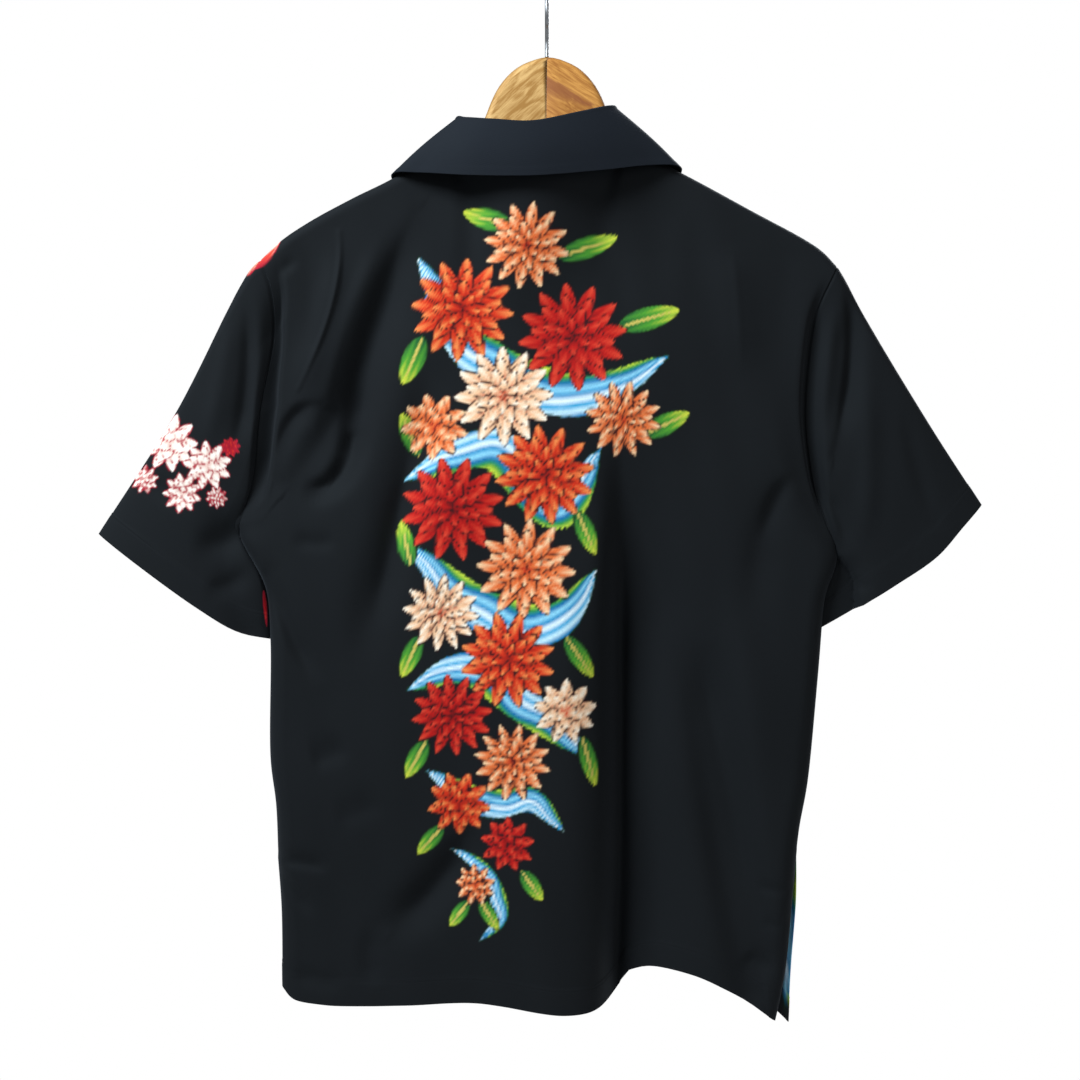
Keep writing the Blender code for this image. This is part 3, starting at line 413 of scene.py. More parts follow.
SLEEVE_CREASES_LEFT = [
    Fold("cap_core", (262, -258), (263, -336), (275, -408), -3.1, 5, 8),
    Fold("cap_ridge", (276, -268), (286, -340), (300, -404), 2.2, 8, 9),
    Fold("elbow_mark", (352, -420), (330, -436), (304, -444), -2.2, 9, 10),
    Fold("drag_high", (262, -462), (284, -478), (312, -486), -4, 12, 13, 0.3),
    Fold("drag_low", (258, -500), (278, -516), (300, -520), -2.6, 8, 10, 0.3),
]
SLEEVE_CREASES_RIGHT = [
    Fold("cap_edge", (-258, -248), (-266, -312), (-251, -404), -7, 4, 11, 0.3, 0.2),
    Fold("cap_ridge", (-279, -330), (-280, -410), (-276, -492), 3.1, 9, 10),
    Fold("outer_run", (-312, -356), (-322, -410), (-338, -462), -2.2, 7, 9, 0, 0.4),
    Fold("drag_high", (-242, -436), (-256, -458), (-262, -488), -2.8, 5, 7, 0.3),
    Fold("drag_low", (-250, -500), (-262, -512), (-286, -522), -2.5, 4, 7, 0.3),
]

# %% Collar stations
COLLAR_ROLL = 2.4
COLLAR_BOW = 2.5
COLLAR_FACING = 2.2  # how strongly the collar's sections turn to the front and back
STAND_TUCK = 2.0
Station = namedtuple("Station", "name seam roll edge")
COLLAR = [
    Station("left_front", 0.03, (14, -36.5, -187), (64, -35, -246)),
    Station("left_chest", 0.38, (52, -31, -159), (106, -31, -208)),
    Station("left_side", 0.72, (76, -15, -128), (129, -19, -177)),
    Station("left_crest_front", 0.9, (79, -5, -112.5), (137, -9, -158.5)),
    Station("left_crest_back", 1.07, (78.5, 4, -108.5), (135, 9, -156.5)),
    Station("left_back", 1.39, (70, 17, -111.6), (110, 21, -158.3)),
    Station("centre_left", 1.71, (46, 30, -116.4), (64, 35, -163.7)),
    Station("centre_back", 2.0, (12, 35.5, -119.2), (10, 42, -165.4)),
    Station("centre_right", 2.29, (-27, 30, -110.2), (-44, 35, -159.6)),
    Station("right_back", 2.61, (-53, 17, -101.6), (-90, 21, -151.7)),
    Station("right_crest_back", 2.93, (-60, 4, -100.5), (-117, 9, -151)),
    Station("right_crest_front", 3.1, (-61, -5, -105), (-118.5, -9, -154)),
    Station("right_side", 3.28, (-60, -15, -121), (-113, -19, -171)),
    Station("right_chest", 3.62, (-34, -31, -158), (-88, -31, -207)),
    Station("right_front", 3.97, (4, -36.5, -187), (-46, -35, -246)),
]

# %% [markdown]
# ## Curves and patches
#
# A smooth curve through given points is a Catmull-Rom spline. Reading it by the share of its length
# keeps the grid even. A patch fills the space between four such curves, and the curve of a side edge
# dies away quickly towards the middle, because woven cloth hangs straight there.


# %% Curves
def smooth_curve(points, steps=24):
    """A curve through the points as a function of the share of its length, 0 to 1."""
    knots = np.array(points, float)
    before = 2 * knots[0] - knots[1]
    after = 2 * knots[-1] - knots[-2]
    knots = np.vstack([before, knots, after])
    samples = []
    for p0, p1, p2, p3 in zip(knots, knots[1:], knots[2:], knots[3:]):
        spans = [np.sqrt(np.linalg.norm(b - a)) for a, b in ((p0, p1), (p1, p2), (p2, p3))]
        t = np.linspace(0, spans[1], steps, endpoint=False)[:, None]
        a1 = p1 + (p1 - p0) / spans[0] * t
        a2 = p1 + (p2 - p1) / spans[1] * t
        a3 = p2 + (p3 - p2) / spans[2] * (t - spans[1])
        b1 = a1 + (a2 - a1) * (t + spans[0]) / (spans[0] + spans[1])
        b2 = a2 + (a3 - a2) * t / (spans[1] + spans[2])
        samples.append(b1 + (b2 - b1) * t / spans[1])
    samples = np.vstack(samples + [knots[-2][None]])
    length = np.concatenate([[0], np.cumsum(np.linalg.norm(np.diff(samples, axis=0), axis=1))])
    length /= length[-1]

    def at(share):
        return np.stack([np.interp(share, length, column) for column in samples.T], axis=-1)

    return at


def joined(curves, limits):
    """Several curves end to end as one function, each over its own stretch of the limits."""

    def at(share):
        share = np.asarray(share, float)
        place = curves[0](np.zeros_like(share))
        for curve, low, high in zip(curves, limits, limits[1:]):
            inside = (share >= low) & (share <= high)
            place[inside] = curve((share[inside] - low) / (high - low))
        return place

    return at


# %% Soft steps, and curves through tables
def smooth_step(t):
    """A soft change from 0 to 1 as t goes from 0 to 1."""
    t = np.clip(t, 0, 1)
    return t * t * (3 - 2 * t)


def quarter_round(distance, radius):
    """The rise of a rounded edge, 0 at the edge itself and 1 a radius away."""
    return np.sqrt(1 - (1 - np.clip(distance / radius, 0, 1)) ** 2)


def curve_of(share, points):
    """The points as a function of the share they are given at."""
    return lambda at: np.stack([np.interp(at, share, column) for column in points.T], axis=-1)


def through(key, rows, at):
    """A smooth curve through table rows that keeps each row at its own key."""
    rows = np.array(rows, float).reshape(len(key), -1)
    slope = np.gradient(rows, key, axis=0)
    span = np.clip(np.searchsorted(key, at, side="right") - 1, 0, len(key) - 2)
    width = (key[span + 1] - key[span])[:, None]
    t = ((at - key[span])[:, None]) / width
    h00, h10 = 2 * t**3 - 3 * t**2 + 1, t**3 - 2 * t**2 + t
    h01, h11 = -2 * t**3 + 3 * t**2, t**3 - t**2
    leaving, arriving = h10 * width * slope[span], h11 * width * slope[span + 1]
    return h00 * rows[span] + leaving + h01 * rows[span + 1] + arriving


# %% Fold heights
def fold_height(folds, x, z):
    """How far the folds lift the cloth at each place, in millimetres."""
    places = np.stack([x.ravel(), z.ravel()], axis=-1)
    height = np.zeros(len(places))
    t = np.linspace(0, 1, FOLD_STEPS)[:, None]
    for fold in folds:
        start, middle, end = (np.array(p, float) for p in (fold.start, fold.middle, fold.end))
        control = 2 * middle - (start + end) / 2
        path = (1 - t) ** 2 * start + 2 * t * (1 - t) * control + t**2 * end
        reach = 3 * max(fold.left, fold.right)
        near = ((places > path.min(0) - reach) & (places < path.max(0) + reach)).all(axis=1)
        run = path[1:] - path[:-1]
        offset = places[near][:, None] - path[:-1]
        along = np.clip((offset * run).sum(-1) / (run * run).sum(-1), 0, 1)
        away = offset - along[..., None] * run
        gap = np.linalg.norm(away, axis=-1)
        nearest = gap.argmin(axis=1)
        row = np.arange(len(nearest))
        turn = run[nearest, 0] * away[row, nearest, 1] - run[nearest, 1] * away[row, nearest, 0]
        width = np.where(turn > 0, fold.left, fold.right)
        share = (nearest + along[row, nearest]) / len(run)
        rise = fold.keep_start + (1 - fold.keep_start) * smooth_step(share / FOLD_FADE)
        fall = fold.keep_end + (1 - fold.keep_end) * smooth_step((1 - share) / FOLD_FADE)
        height[near] += fold.depth * rise * fall * np.exp(-((gap[row, nearest] / width) ** 2))
    return height.reshape(x.shape)


# %% The armhole's sink and the cloth's unevenness
def seam_sink(panel_side, sleeve, v, beyond):
    """How far the cloth sinks along the left (0) or right (1) armhole. "beyond" counts from the seam
    out on the sleeve, and is negative on the body. Underarm and shoulder do not sink."""
    away = beyond
    if sleeve == 0 and panel_side == "back":
        away = beyond + read(LEFT_LOWEST_LINE, v)
    out_side = np.exp(-(np.abs(away / SLEEVE_SINK_WIDE[sleeve]) ** SINK_FLATNESS[sleeve]))
    in_side = np.exp(-((away / BODY_SINK_WIDE) ** 2))
    depth = SEAM_SINK[sleeve] * (1 if panel_side == "back" else FRONT_SINK_SHARE)
    ends = smooth_step((v - SINK_LOW) / SINK_LOW_BLEND) * smooth_step((SINK_HIGH - v) / SINK_HIGH_BLEND)
    return depth * ends * np.where(away > 0, out_side, in_side)


def ripple(x, z, seed):
    """The slight unevenness of hanging cloth: a few broad waves that mostly run up and down."""
    wave = np.random.default_rng(seed)
    height = np.zeros_like(x)
    for length, rise in WAVES:
        angle, start = wave.normal(0, 0.45), wave.uniform(0, 2 * np.pi)
        bend = 9 * np.sin(z / wave.uniform(70, 130) + wave.uniform(0, 6))
        across = (x + bend) * np.cos(angle) + z * np.sin(angle)
        height += rise * np.sin(2 * np.pi * across / length + start)
    return height


# %% Patches between cut edges
def pushed(flat):
    """The places of a grid after the sideways pushes."""
    moved = flat.copy()
    for push in PUSHES:
        away = np.linalg.norm(flat - push.centre, axis=-1, keepdims=True)
        moved += np.exp(-((away / push.radius) ** 2)) * push.by
    return moved


def patch(low, high, left, right, u, v):
    """A grid of (x, z) between four edges: low and high run along u, left and right along v. The
    curves of the left and right edges die away quickly, so that the middle of the cloth is straight."""
    u_row, v_column = u[None, :, None], v[:, None, None]
    ends = np.array([0.0, 1.0])
    (low_left, low_right), (high_left, high_right) = low(ends), high(ends)
    across = (1 - v_column) * low(u)[None] + v_column * high(u)[None]
    left_curve = left(v)[:, None] - (1 - v_column) * low_left - v_column * high_left
    right_curve = right(v)[:, None] - (1 - v_column) * low_right - v_column * high_right
    return across + (1 - u_row) ** 3 * left_curve + u_row**3 * right_curve


# %% [markdown]
# ## The body's two panels
#
# The back and the front share one recipe. Each stands out from the middle plane by its fullness and its
# folds, comes back to the side seams in a small roll, lies over the hanger's arms at the shoulder, and
# goes round the neck as a half oval. Writing this as a function of u and v gives the same surface as
# the solids at any fineness, so the creases are simply added to the folds.


# %% The panel's surface
class Panel:
    """The back or the front: its cut edges, and the surface of the hanging cloth."""

    def __init__(self, side, vents, neck, hem, columns, folds, seed):
        self.side = side
        self.folds, self.seed = folds, seed
        limits = [0, V_VENT, V_UNDERARM, 1]
        left_vent, right_vent = vents
        self.left = joined([smooth_curve(c) for c in (left_vent, SIDE_LEFT, ARMHOLE_LEFT)], limits)
        self.right = joined([smooth_curve(c) for c in (right_vent, SIDE_RIGHT, ARMHOLE_RIGHT)], limits)
        self.high = joined(
            [smooth_curve(c) for c in (SHOULDER_LEFT, neck, SHOULDER_RIGHT)],
            [0, U_NECK_LEFT, U_NECK_RIGHT, 1],
        )
        self.columns = columns
        outline = smooth_curve(hem)(np.linspace(0, 1, 400))
        self.hem_line = outline[np.argsort(outline[:, 0])]

    def low(self, u):
        """The hem's place at each column."""
        x = read(self.columns, u)
        return np.stack([x, np.interp(x, self.hem_line[:, 0], self.hem_line[:, 1])], axis=-1)

    def surface(self, u, v):
        """Points (rows of v, columns of u, xyz) of the outer face, in millimetres."""
        flat = patch(self.low, self.high, self.left, self.right, u, v)
        x, z = flat[..., 0], flat[..., 1]
        u_grid = np.broadcast_to(u[None], x.shape)
        v_grid = np.broadcast_to(v[:, None], x.shape)

        # The open body of the cloth: fullest in the middle, with its folds
        full = read(FULLNESS[self.side], z)
        place = pushed(flat)
        folded = fold_height(self.folds, place[..., 0], place[..., 1])
        folded += ripple(place[..., 0], place[..., 1], self.seed)
        lie = full * (SIDE_SHARE + (1 - SIDE_SHARE) * np.sin(np.pi * u_grid)) + folded

        # The sides: a rolled edge at the side seam, a soft run into the sleeve at the armhole
        above = smooth_step((v_grid - V_UNDERARM + ARMHOLE_START) / ARMHOLE_BLEND)
        edge = read(ARMHOLE_DEPTH, v_grid) + VENT_OPEN * smooth_step((V_VENT - v_grid) / V_VENT)
        left_gap = np.abs(self.left(v)[:, None, 0] - x)
        right_gap = np.abs(x - self.right(v)[:, None, 0])
        from_left, from_right = (
            above * smooth_step(gap / ARMHOLE_ROLL) + (1 - above) * quarter_round(gap, SIDE_ROLL)
            for gap in (left_gap, right_gap)
        )
        out = lie * from_left * from_right + edge * (1 - from_left) + edge * (1 - from_right)
        for sleeve, gap in enumerate((left_gap, right_gap)):
            out = out - seam_sink(self.side, sleeve, v_grid, -gap)

        drop = np.maximum(self.high(u)[None, :, 1] - z, 0)
        out = self.over_top(out, drop, u_grid)
        y = (HALF_GAP + out) * (1 if self.side == "back" else -1)
        return np.stack([place[..., 0], y, place[..., 1]], axis=-1)

    def over_top(self, out, drop, u_grid):
        """How far the cloth stands out once it lies over the hanger's arm along the shoulder, and goes
        round the wearer's neck. "drop" is how far below the panel's top each point lies."""
        share = np.clip((u_grid - U_NECK_LEFT) / (U_NECK_RIGHT - U_NECK_LEFT), 0, 1)
        ring = np.sin(np.pi * share) ** NECK_ROUND
        softer = ring ** (1 + NECK_SOFTEN * smooth_step(drop / SOFTEN_FALL))
        at_top = NECK_HALF_DEPTH * softer
        openness = smooth_step(2 * softer)
        over_arm, off_neck = quarter_round(drop, SHOULDER_ROLL), smooth_step(drop / NECK_FALL[self.side])
        return at_top + (out - at_top) * ((1 - openness) * over_arm + openness * off_neck)


BACK_EDGES = (BACK_VENT_LEFT, BACK_VENT_RIGHT), BACK_NECK, BACK_HEM
FRONT_EDGES = (FRONT_VENT_LEFT, FRONT_VENT_RIGHT), FRONT_NECK, FRONT_HEM
BACK = Panel("back", *BACK_EDGES, HEM_COLUMNS_BACK, BACK_FOLDS + BACK_CREASES, seed=3)
FRONT = Panel("front", *FRONT_EDGES, HEM_COLUMNS_FRONT, FRONT_FOLDS + FRONT_CREASES, seed=8)

# %% [markdown]
# ## Thin shells from a grid
#
# Cloth has two faces and an edge, so each piece is a closed shell: the outer grid, the same grid a
# cloth's thickness behind it, and a rim. Nobody looks closely at the inside, so the inner face keeps
# every fourth grid line, and each rim face joins one long inner side to several short outer ones. A
# coarse face cuts straight across a sharp crease, so the inner face lies a little deeper there.
# The piece also gets a UV map in metres along its threads, which the weave's material reads, and a
# colour for the print at each point.


# %% Grid helpers
LEAST_SPACING = 0.0004
KEEP_EVERY = 4
INNER_CLEARANCE = 1.1  # times what a coarse face would cut off


def with_lines(count, *extra):
    """Evenly spaced grid lines from 0 to 1, and the extra ones where fine detail needs them."""
    lines = np.unique(np.concatenate([np.linspace(0, 1, count), *extra]))
    crowded = np.concatenate([[False], np.diff(lines) < LEAST_SPACING])
    return lines[~crowded]


def running_length(grid, axis):
    """How far each point lies along its grid line, in millimetres."""
    steps = np.linalg.norm(np.diff(grid, axis=axis), axis=-1)
    start = np.zeros_like(np.take(steps, [0], axis=axis))
    return np.concatenate([start, np.cumsum(steps, axis=axis)], axis=axis)


def grid_normals(grid, ring=False):
    """Unit normals of a grid of points, from the points beside each one."""
    up = np.gradient(grid, axis=0)
    if ring:
        across = np.roll(grid, -1, axis=1) - np.roll(grid, 1, axis=1)
    else:
        across = np.gradient(grid, axis=1)
    normal = np.cross(across, up)
    return normal / np.linalg.norm(normal, axis=-1, keepdims=True)


def coarse_lines(count):
    """Every fourth grid line, and the last."""
    return sorted({*range(0, count, KEEP_EVERY), count - 1})


# %% How deep the inner face lies
def inner_depth(grid, normals, low, high, thick):
    """How far behind each kept point the inner face lies, so that no coarse face cuts the outer one."""
    inner = grid - normals * thick
    coarse = inner[low][:, high]
    for axis, lines in enumerate((low, high)):
        place = np.interp(np.arange(grid.shape[axis]), lines, np.arange(len(lines)))
        below = np.minimum(place.astype(int), len(lines) - 2)
        part = (place - below).reshape((-1, 1, 1) if axis == 0 else (1, -1, 1))
        coarse = np.take(coarse, below, axis) * (1 - part) + np.take(coarse, below + 1, axis) * part
    excess = np.maximum(((coarse - inner) * normals).sum(axis=-1), 0)
    depth = np.full(grid.shape[:2], float(thick))
    for i, row in enumerate(low):
        rows = slice(low[max(i - 1, 0)], low[min(i + 1, len(low) - 1)] + 1)
        for j, column in enumerate(high):
            columns = slice(high[max(j - 1, 0)], high[min(j + 1, len(high) - 1)] + 1)
            depth[row, column] += INNER_CLEARANCE * excess[rows, columns].max()
    return depth


# %% Bare cloth, and a tube's closing column
BARE = (0.0, 0.0, 0.0, 0.0)


def closed(grid, ring):
    """A grid, with its first column again at its end where it is a ring."""
    return np.concatenate([grid, grid[:, :1]], axis=1) if ring else grid


# %% A shell's faces
def shell_faces(rows, wide, ring):
    """The faces of a closed shell over a grid, and how many outer ones come first. The inner points are
    numbered after the outer ones."""
    inside = rows * wide

    def at(row, column):
        return row * wide + column

    row, column = (part.ravel() for part in np.mgrid[: rows - 1, : wide - 1])
    corners = (at(row, column), at(row, column + 1), at(row + 1, column + 1), at(row + 1, column))
    faces = np.stack(corners, axis=-1).tolist()
    low, high = coarse_lines(rows), coarse_lines(wide)
    for a, b in zip(low, low[1:]):
        for c, d in zip(high, high[1:]):
            faces.append([inside + at(a, c), inside + at(b, c), inside + at(b, d), inside + at(a, d)])
    for a, b in zip(high, high[1:]):
        for edge, turned in ((0, False), (rows - 1, True)):
            rim = [at(edge, c) for c in range(b, a - 1, -1)] + [inside + at(edge, c) for c in (a, b)]
            faces.append(rim[::-1] if turned else rim)
    for a, b in zip(low, low[1:]) if not ring else ():
        for edge, turned in ((0, True), (wide - 1, False)):
            rim = [at(r, edge) for r in range(b, a - 1, -1)] + [inside + at(r, edge) for r in (a, b)]
            faces.append(rim[::-1] if turned else rim)
    return faces, len(row)


# %% The shell
def shell(name, outer, normals, finish, thick=CLOTH_THICK, ring=False, ink=None, turned_in=None):
    """A closed thin sheet whose outer face is the grid. "ring" joins its last column to its first, and
    "turned_in" marks where the inside shows the print."""
    rows, columns = outer.shape[:2]
    grid = closed(outer, ring)
    wide, count = grid.shape[1], rows * columns
    vertex = np.arange(rows)[:, None] * columns + np.arange(wide) % columns
    vertex = np.concatenate([vertex.ravel(), vertex.ravel() + count])
    inside = rows * wide
    faces, outer_count = shell_faces(rows, wide, ring)

    facing = normals.reshape(-1, 3)
    points = outer.reshape(-1, 3)
    first = vertex[np.array(faces[:outer_count])]
    corner = points[first]
    winding = np.cross(corner[:, 2] - corner[:, 0], corner[:, 3] - corner[:, 1])
    if (winding * facing[first[:, 0]]).sum() < 0:
        faces = [face[::-1] for face in faces]

    depth = inner_depth(grid, closed(normals, ring), coarse_lines(rows), coarse_lines(wide), thick)
    if ring:
        depth[:, 0] = np.maximum(depth[:, 0], depth[:, -1])
    both = np.concatenate([points, points - facing * depth[:, :columns].reshape(-1, 1)])
    used, renamed = np.unique(vertex[np.concatenate(faces)], return_inverse=True)
    ends = np.cumsum([len(face) for face in faces])[:-1]
    mesh = bpy.data.meshes.new(name)
    mesh.from_pydata((both[used] * MM).tolist(), [], [part.tolist() for part in np.split(renamed, ends)])
    thread = np.stack([running_length(grid, 1), running_length(grid, 0)], axis=-1).reshape(-1, 2) * MM
    flat = mesh.uv_layers.new(name="threads")
    flat.data.foreach_set("uv", thread[np.concatenate(faces) % inside].ravel())
    bare = np.tile(BARE, (count, 1))
    inside_ink = bare if turned_in is None else ink.reshape(-1, 4) * turned_in.reshape(-1, 1)
    paint = mesh.color_attributes.new("print", "FLOAT_COLOR", "POINT")
    colours = np.concatenate([bare if ink is None else ink.reshape(-1, 4), inside_ink])
    paint.data.foreach_set("color", colours[used].ravel())
    mesh.shade_smooth()
    mesh.set_sharp_from_angle(angle=math.radians(60))
    mesh.materials.append(finish)
    triangles = sum(len(face) - 2 for face in faces)
    print(f"{name}: {triangles} triangles, {len(used)} points")
    return added(name, mesh)


# %% Putting a sheet in place
def put_on(piece, solid, flat, area, *rests_on):
    """The piece stands for its solid."""
    stand_for(piece, "cloth", solid)


# %% [markdown]
# ## The cloth's finish
#
# The shirt is a fine cotton piqué, dyed almost black, with a matt face. Dyed cotton returns little
# light, a few per cent at most, and its fine fibres add a soft paler rim where the cloth turns away,
# which is what a sheen is for. Its threads are about 0.4 mm apart. That is too fine to show, so the
# weave is drawn at 0.9 mm, as a very low bump. The print is an ink on the same threads, so it is mixed
# into the same material by the cover that the piece carries in its colour attribute.

# %% Dyed cotton piqué
THREAD = 0.9 * MM
WAVE_PERIOD = 2 * math.pi / 20  # a Wave texture's band at scale 1, in its own units


def cotton(name, dye, rib=0.0):
    """Woven cotton in a dye. "rib" turns the weave into ribs that run down the piece."""
    values = {
        "Base Color": dye,
        "Roughness": 0.8,
        "Specular IOR Level": 0.16,
        "Specular Tint": (0.78, 0.93, 1.0, 1.0),
        "Sheen Weight": 0.06,
        "Sheen Roughness": 0.42,
        "Sheen Tint": linear("#c3cfdc"),
    }
    made, tree, shader = new_material(name, values)
    threads = node(tree, "UVMap", uv_map="threads")
    place = node(tree, "TexCoord").outputs["Object"]
    waves = {"Vector": threads, "Scale": WAVE_PERIOD / THREAD}
    across = node(tree, "TexWave", waves, bands_direction="X").outputs[1]
    along = node(tree, "TexWave", waves, bands_direction="Y").outputs[1]
    fuzz = node(tree, "TexNoise", {"Vector": place, "Scale": 900.0, "Detail": 2.0})
    weave = node(tree, "Math", {0: across, 1: along}, operation="MULTIPLY")
    height = node(tree, "Math", {0: weave, 1: fuzz}, operation="ADD")
    if rib:
        ribs = node(tree, "TexWave", {**waves, "Scale": WAVE_PERIOD / rib}, bands_direction="X").outputs[1]
        height = node(tree, "Math", {0: height, 1: ribs}, operation="ADD")
    bump = node(tree, "Bump", {"Height": height, "Strength": 0.22, "Distance": 0.00012})
    tree.links.new(bump.outputs[0], shader.inputs["Normal"])

    wear = node(tree, "TexNoise", {"Vector": place, "Scale": 11.0, "Detail": 5.0, "Roughness": 0.6})
    pale = node(tree, "MapRange", {0: wear, 1: 0.3, 2: 0.7, 3: 0.88, 4: 1.14})
    dyed = node(tree, "Mix", {0: 1.0, 6: dye, 7: pale}, data_type="RGBA", blend_type="MULTIPLY").outputs[2]
    ink = node(tree, "Attribute", attribute_name="print").outputs
    broken = node(tree, "MapRange", {0: fuzz, 1: 0.25, 2: 0.6, 3: 0.86, 4: 1.0})
    cover = node(tree, "Math", {0: ink["Alpha"], 1: broken}, operation="MULTIPLY")
    cloth = node(tree, "Mix", {0: cover, 6: dyed, 7: ink["Color"]}, data_type="RGBA")
    tree.links.new(cloth.outputs[2], shader.inputs["Base Color"])
    dull = node(tree, "MapRange", {0: wear, 1: 0.3, 2: 0.7, 3: 0.78, 4: 0.88})
    tree.links.new(dull.outputs[0], shader.inputs["Roughness"])
    return made


pique = cotton("dyed cotton pique", linear("#101113"))
collar_knit = cotton("flat-knit cotton collar", linear("#12151b"), rib=1.6 * MM)

# %% [markdown]
# ## The print
#
# A printed garland of chrysanthemums and leaves on flowing water, all common motifs, runs down the
# back, and again across the front and the left sleeve. It is drawn with shapes rather than read from a
# picture. Each petal, leaf or stream covers the points of the cloth that lie inside it, with a soft
# edge as a sprayed ink has, and later ones go over earlier ones.

# %% Inks
CRIMSON = ("#6d0a0c", "#b3140f", "#d6402a")
SCARLET = ("#8e120c", "#cf3114", "#ef8a4a")
ORANGE = ("#b52a12", "#e2733a", "#f7cfa0")
CREAM = ("#c9492a", "#efbf94", "#fbeed8")
WHITE = ("#d9a79c", "#f3e2d4", "#fdf6ec")
LEAF = ("#1c5a2a", "#4f9a2e", "#c9d142")
WATER = ("#b9d23c", "#2f8f3e", "#0f6aa6", "#8fd4ec", "#1a86bd", "#e8f8fb", "#1f9ccf", "#c9ecf6", "#157ab2")
WATER_EDGE = "#16351f"
OUTLINE = "#2c0d10"
ROSE = "#a3142a"


def inks(codes):
    """The linear colours of several hex codes, one a row."""
    return np.array([linear(code)[:3] for code in codes])


# %% Laying ink on the cloth's points
BLOOM_RINGS = ((1.0, 0.22), (0.78, 0.14), (0.56, 0.08), (0.34, 0.0))  # where petals end and start
SMALL_BLOOM, SMALL_COUNT, LARGE_COUNT = 34, 9, 12  # a radius, and how many petals the lowest ring has


class Printing:
    """The print at each point of a piece: an ink's colour, and how much of the cloth it covers."""

    def __init__(self, x, z):
        self.places = np.stack([x.ravel(), z.ravel()], axis=-1)
        self.ink = np.zeros((len(self.places), 4))

    def near(self, centre, radius):
        """Which points lie within a radius of a place."""
        return np.flatnonzero(np.linalg.norm(self.places - centre, axis=-1) < radius)

    def lay(self, index, cover, colour):
        """Lays a colour over these points, and over the inks that are there already."""
        under = self.ink[index]
        under_share = under[:, 3] * (1 - cover)
        total = np.maximum(cover + under_share, TINY)
        mixed = (colour * cover[:, None] + under[:, :3] * under_share[:, None]) / total[:, None]
        self.ink[index] = np.concatenate([mixed, np.minimum(total, 1)[:, None]], axis=1)

    def lay_edged(self, index, inside, body, outline, line, edge):
        """Lays a shape, given how far inside it each point lies, within a soft outline of this width."""
        rim = (1 - smooth_step((inside - line) / edge))[:, None]
        self.lay(index, smooth_step(inside / edge + 0.5), body * (1 - rim) + inks([outline])[0] * rim)

    def petal(self, root, tip, width, codes, outline=OUTLINE, streaks=2.5, edge=1.3):
        """A petal or leaf, from the ink at its root to the one at its tip, inside a thin outline."""
        root, tip = np.array(root, float), np.array(tip, float)
        length = np.linalg.norm(tip - root)
        ahead = (tip - root) / length
        index = self.near((root + tip) / 2, length / 2 + width)
        offset = self.places[index] - root
        t = np.clip(offset @ ahead / length, 0, 1)
        across = offset @ np.array([-ahead[1], ahead[0]]) / width
        beyond = np.maximum(offset @ ahead - length, -(offset @ ahead))
        inside = (np.sin(np.pi * t**0.85) ** 0.55 - np.abs(across)) * width - np.maximum(beyond, 0)
        shade = np.clip(t + 0.13 * np.cos(across * np.pi * streaks) - 0.12 * across**2, 0, 1)
        body = curve_of([0, 0.55, 1], inks(codes))(shade)
        self.lay_edged(index, inside, body, outline, 0.5, edge)

    def flower(self, centre, radius, turn, codes, count, outline):
        """A chrysanthemum: rings of petals, each shorter than the one below it."""
        for ring, (reach, root) in enumerate(BLOOM_RINGS):
            petals = count - 2 * ring
            for step in range(petals):
                angle = turn + 0.37 * ring + 2 * math.pi * step / petals
                ahead = np.array([math.cos(angle), math.sin(angle)])
                wide = 0.62 * math.pi * radius * reach / petals
                inner, outer = (centre + ahead * radius * share for share in (root, reach))
                self.petal(inner, outer, wide, codes, outline)

    def leaf(self, root, tip, width):
        """A leaf with a pale vein."""
        self.petal(root, tip, width, LEAF, outline="#16240f", streaks=4)
        vein = (np.array(root) * 0.15 + np.array(tip) * 0.85).tolist()
        self.petal(root, vein, 1.3, ("#c9b65a", "#c9b65a", "#9aa04a"), outline="#c9b65a", edge=0.8)

    def stream(self, points, width):
        """Flowing water: bands of blue and white between green and yellow rims, along a curve."""
        line = smooth_curve(points)(np.linspace(0, 1, 140))
        index = self.near(line.mean(axis=0), np.linalg.norm(line - line.mean(axis=0), axis=1).max() + width)
        offset = self.places[index][:, None] - line[None]
        nearest = (offset**2).sum(axis=-1).argmin(axis=1)
        share = nearest / (len(line) - 1)
        ahead = np.gradient(line, axis=0)[nearest]
        away = offset[np.arange(len(index)), nearest]
        side = (ahead[:, 0] * away[:, 1] - ahead[:, 1] * away[:, 0]) / np.linalg.norm(ahead, axis=1)
        past_end = np.abs((ahead * away).sum(axis=1)) / np.linalg.norm(ahead, axis=1)
        wide = width * np.sin(np.pi * np.clip(share, 0.01, 0.99)) ** 0.6
        across = np.clip(side / wide + 0.16 * np.sin(share * 19), -1, 1)
        body = curve_of(np.linspace(-1, 1, len(WATER)), inks(WATER))(across)
        self.lay_edged(index, wide - np.abs(side) - past_end, body, WATER_EDGE, 0.4, 1.2)

    def on_grid(self, shape):
        """The ink of each point, in the shape of the grid that the points come from."""
        return self.ink.reshape(*shape[:2], 4)


# %% Garlands
Bloom = namedtuple("Bloom", "centre radius turn codes outline", defaults=(OUTLINE,))


def garland(printing, blooms, streams, leaves):
    """Streams first, then leaves, and the flowers over both."""
    for points, width in streams:
        printing.stream(points, width)
    for root, tip, width in leaves:
        printing.leaf(root, tip, width)
    for bloom in blooms:
        count = SMALL_COUNT if bloom.radius < SMALL_BLOOM else LARGE_COUNT
        centre = np.array(bloom.centre, float)
        printing.flower(centre, bloom.radius, bloom.turn, bloom.codes, count, bloom.outline)


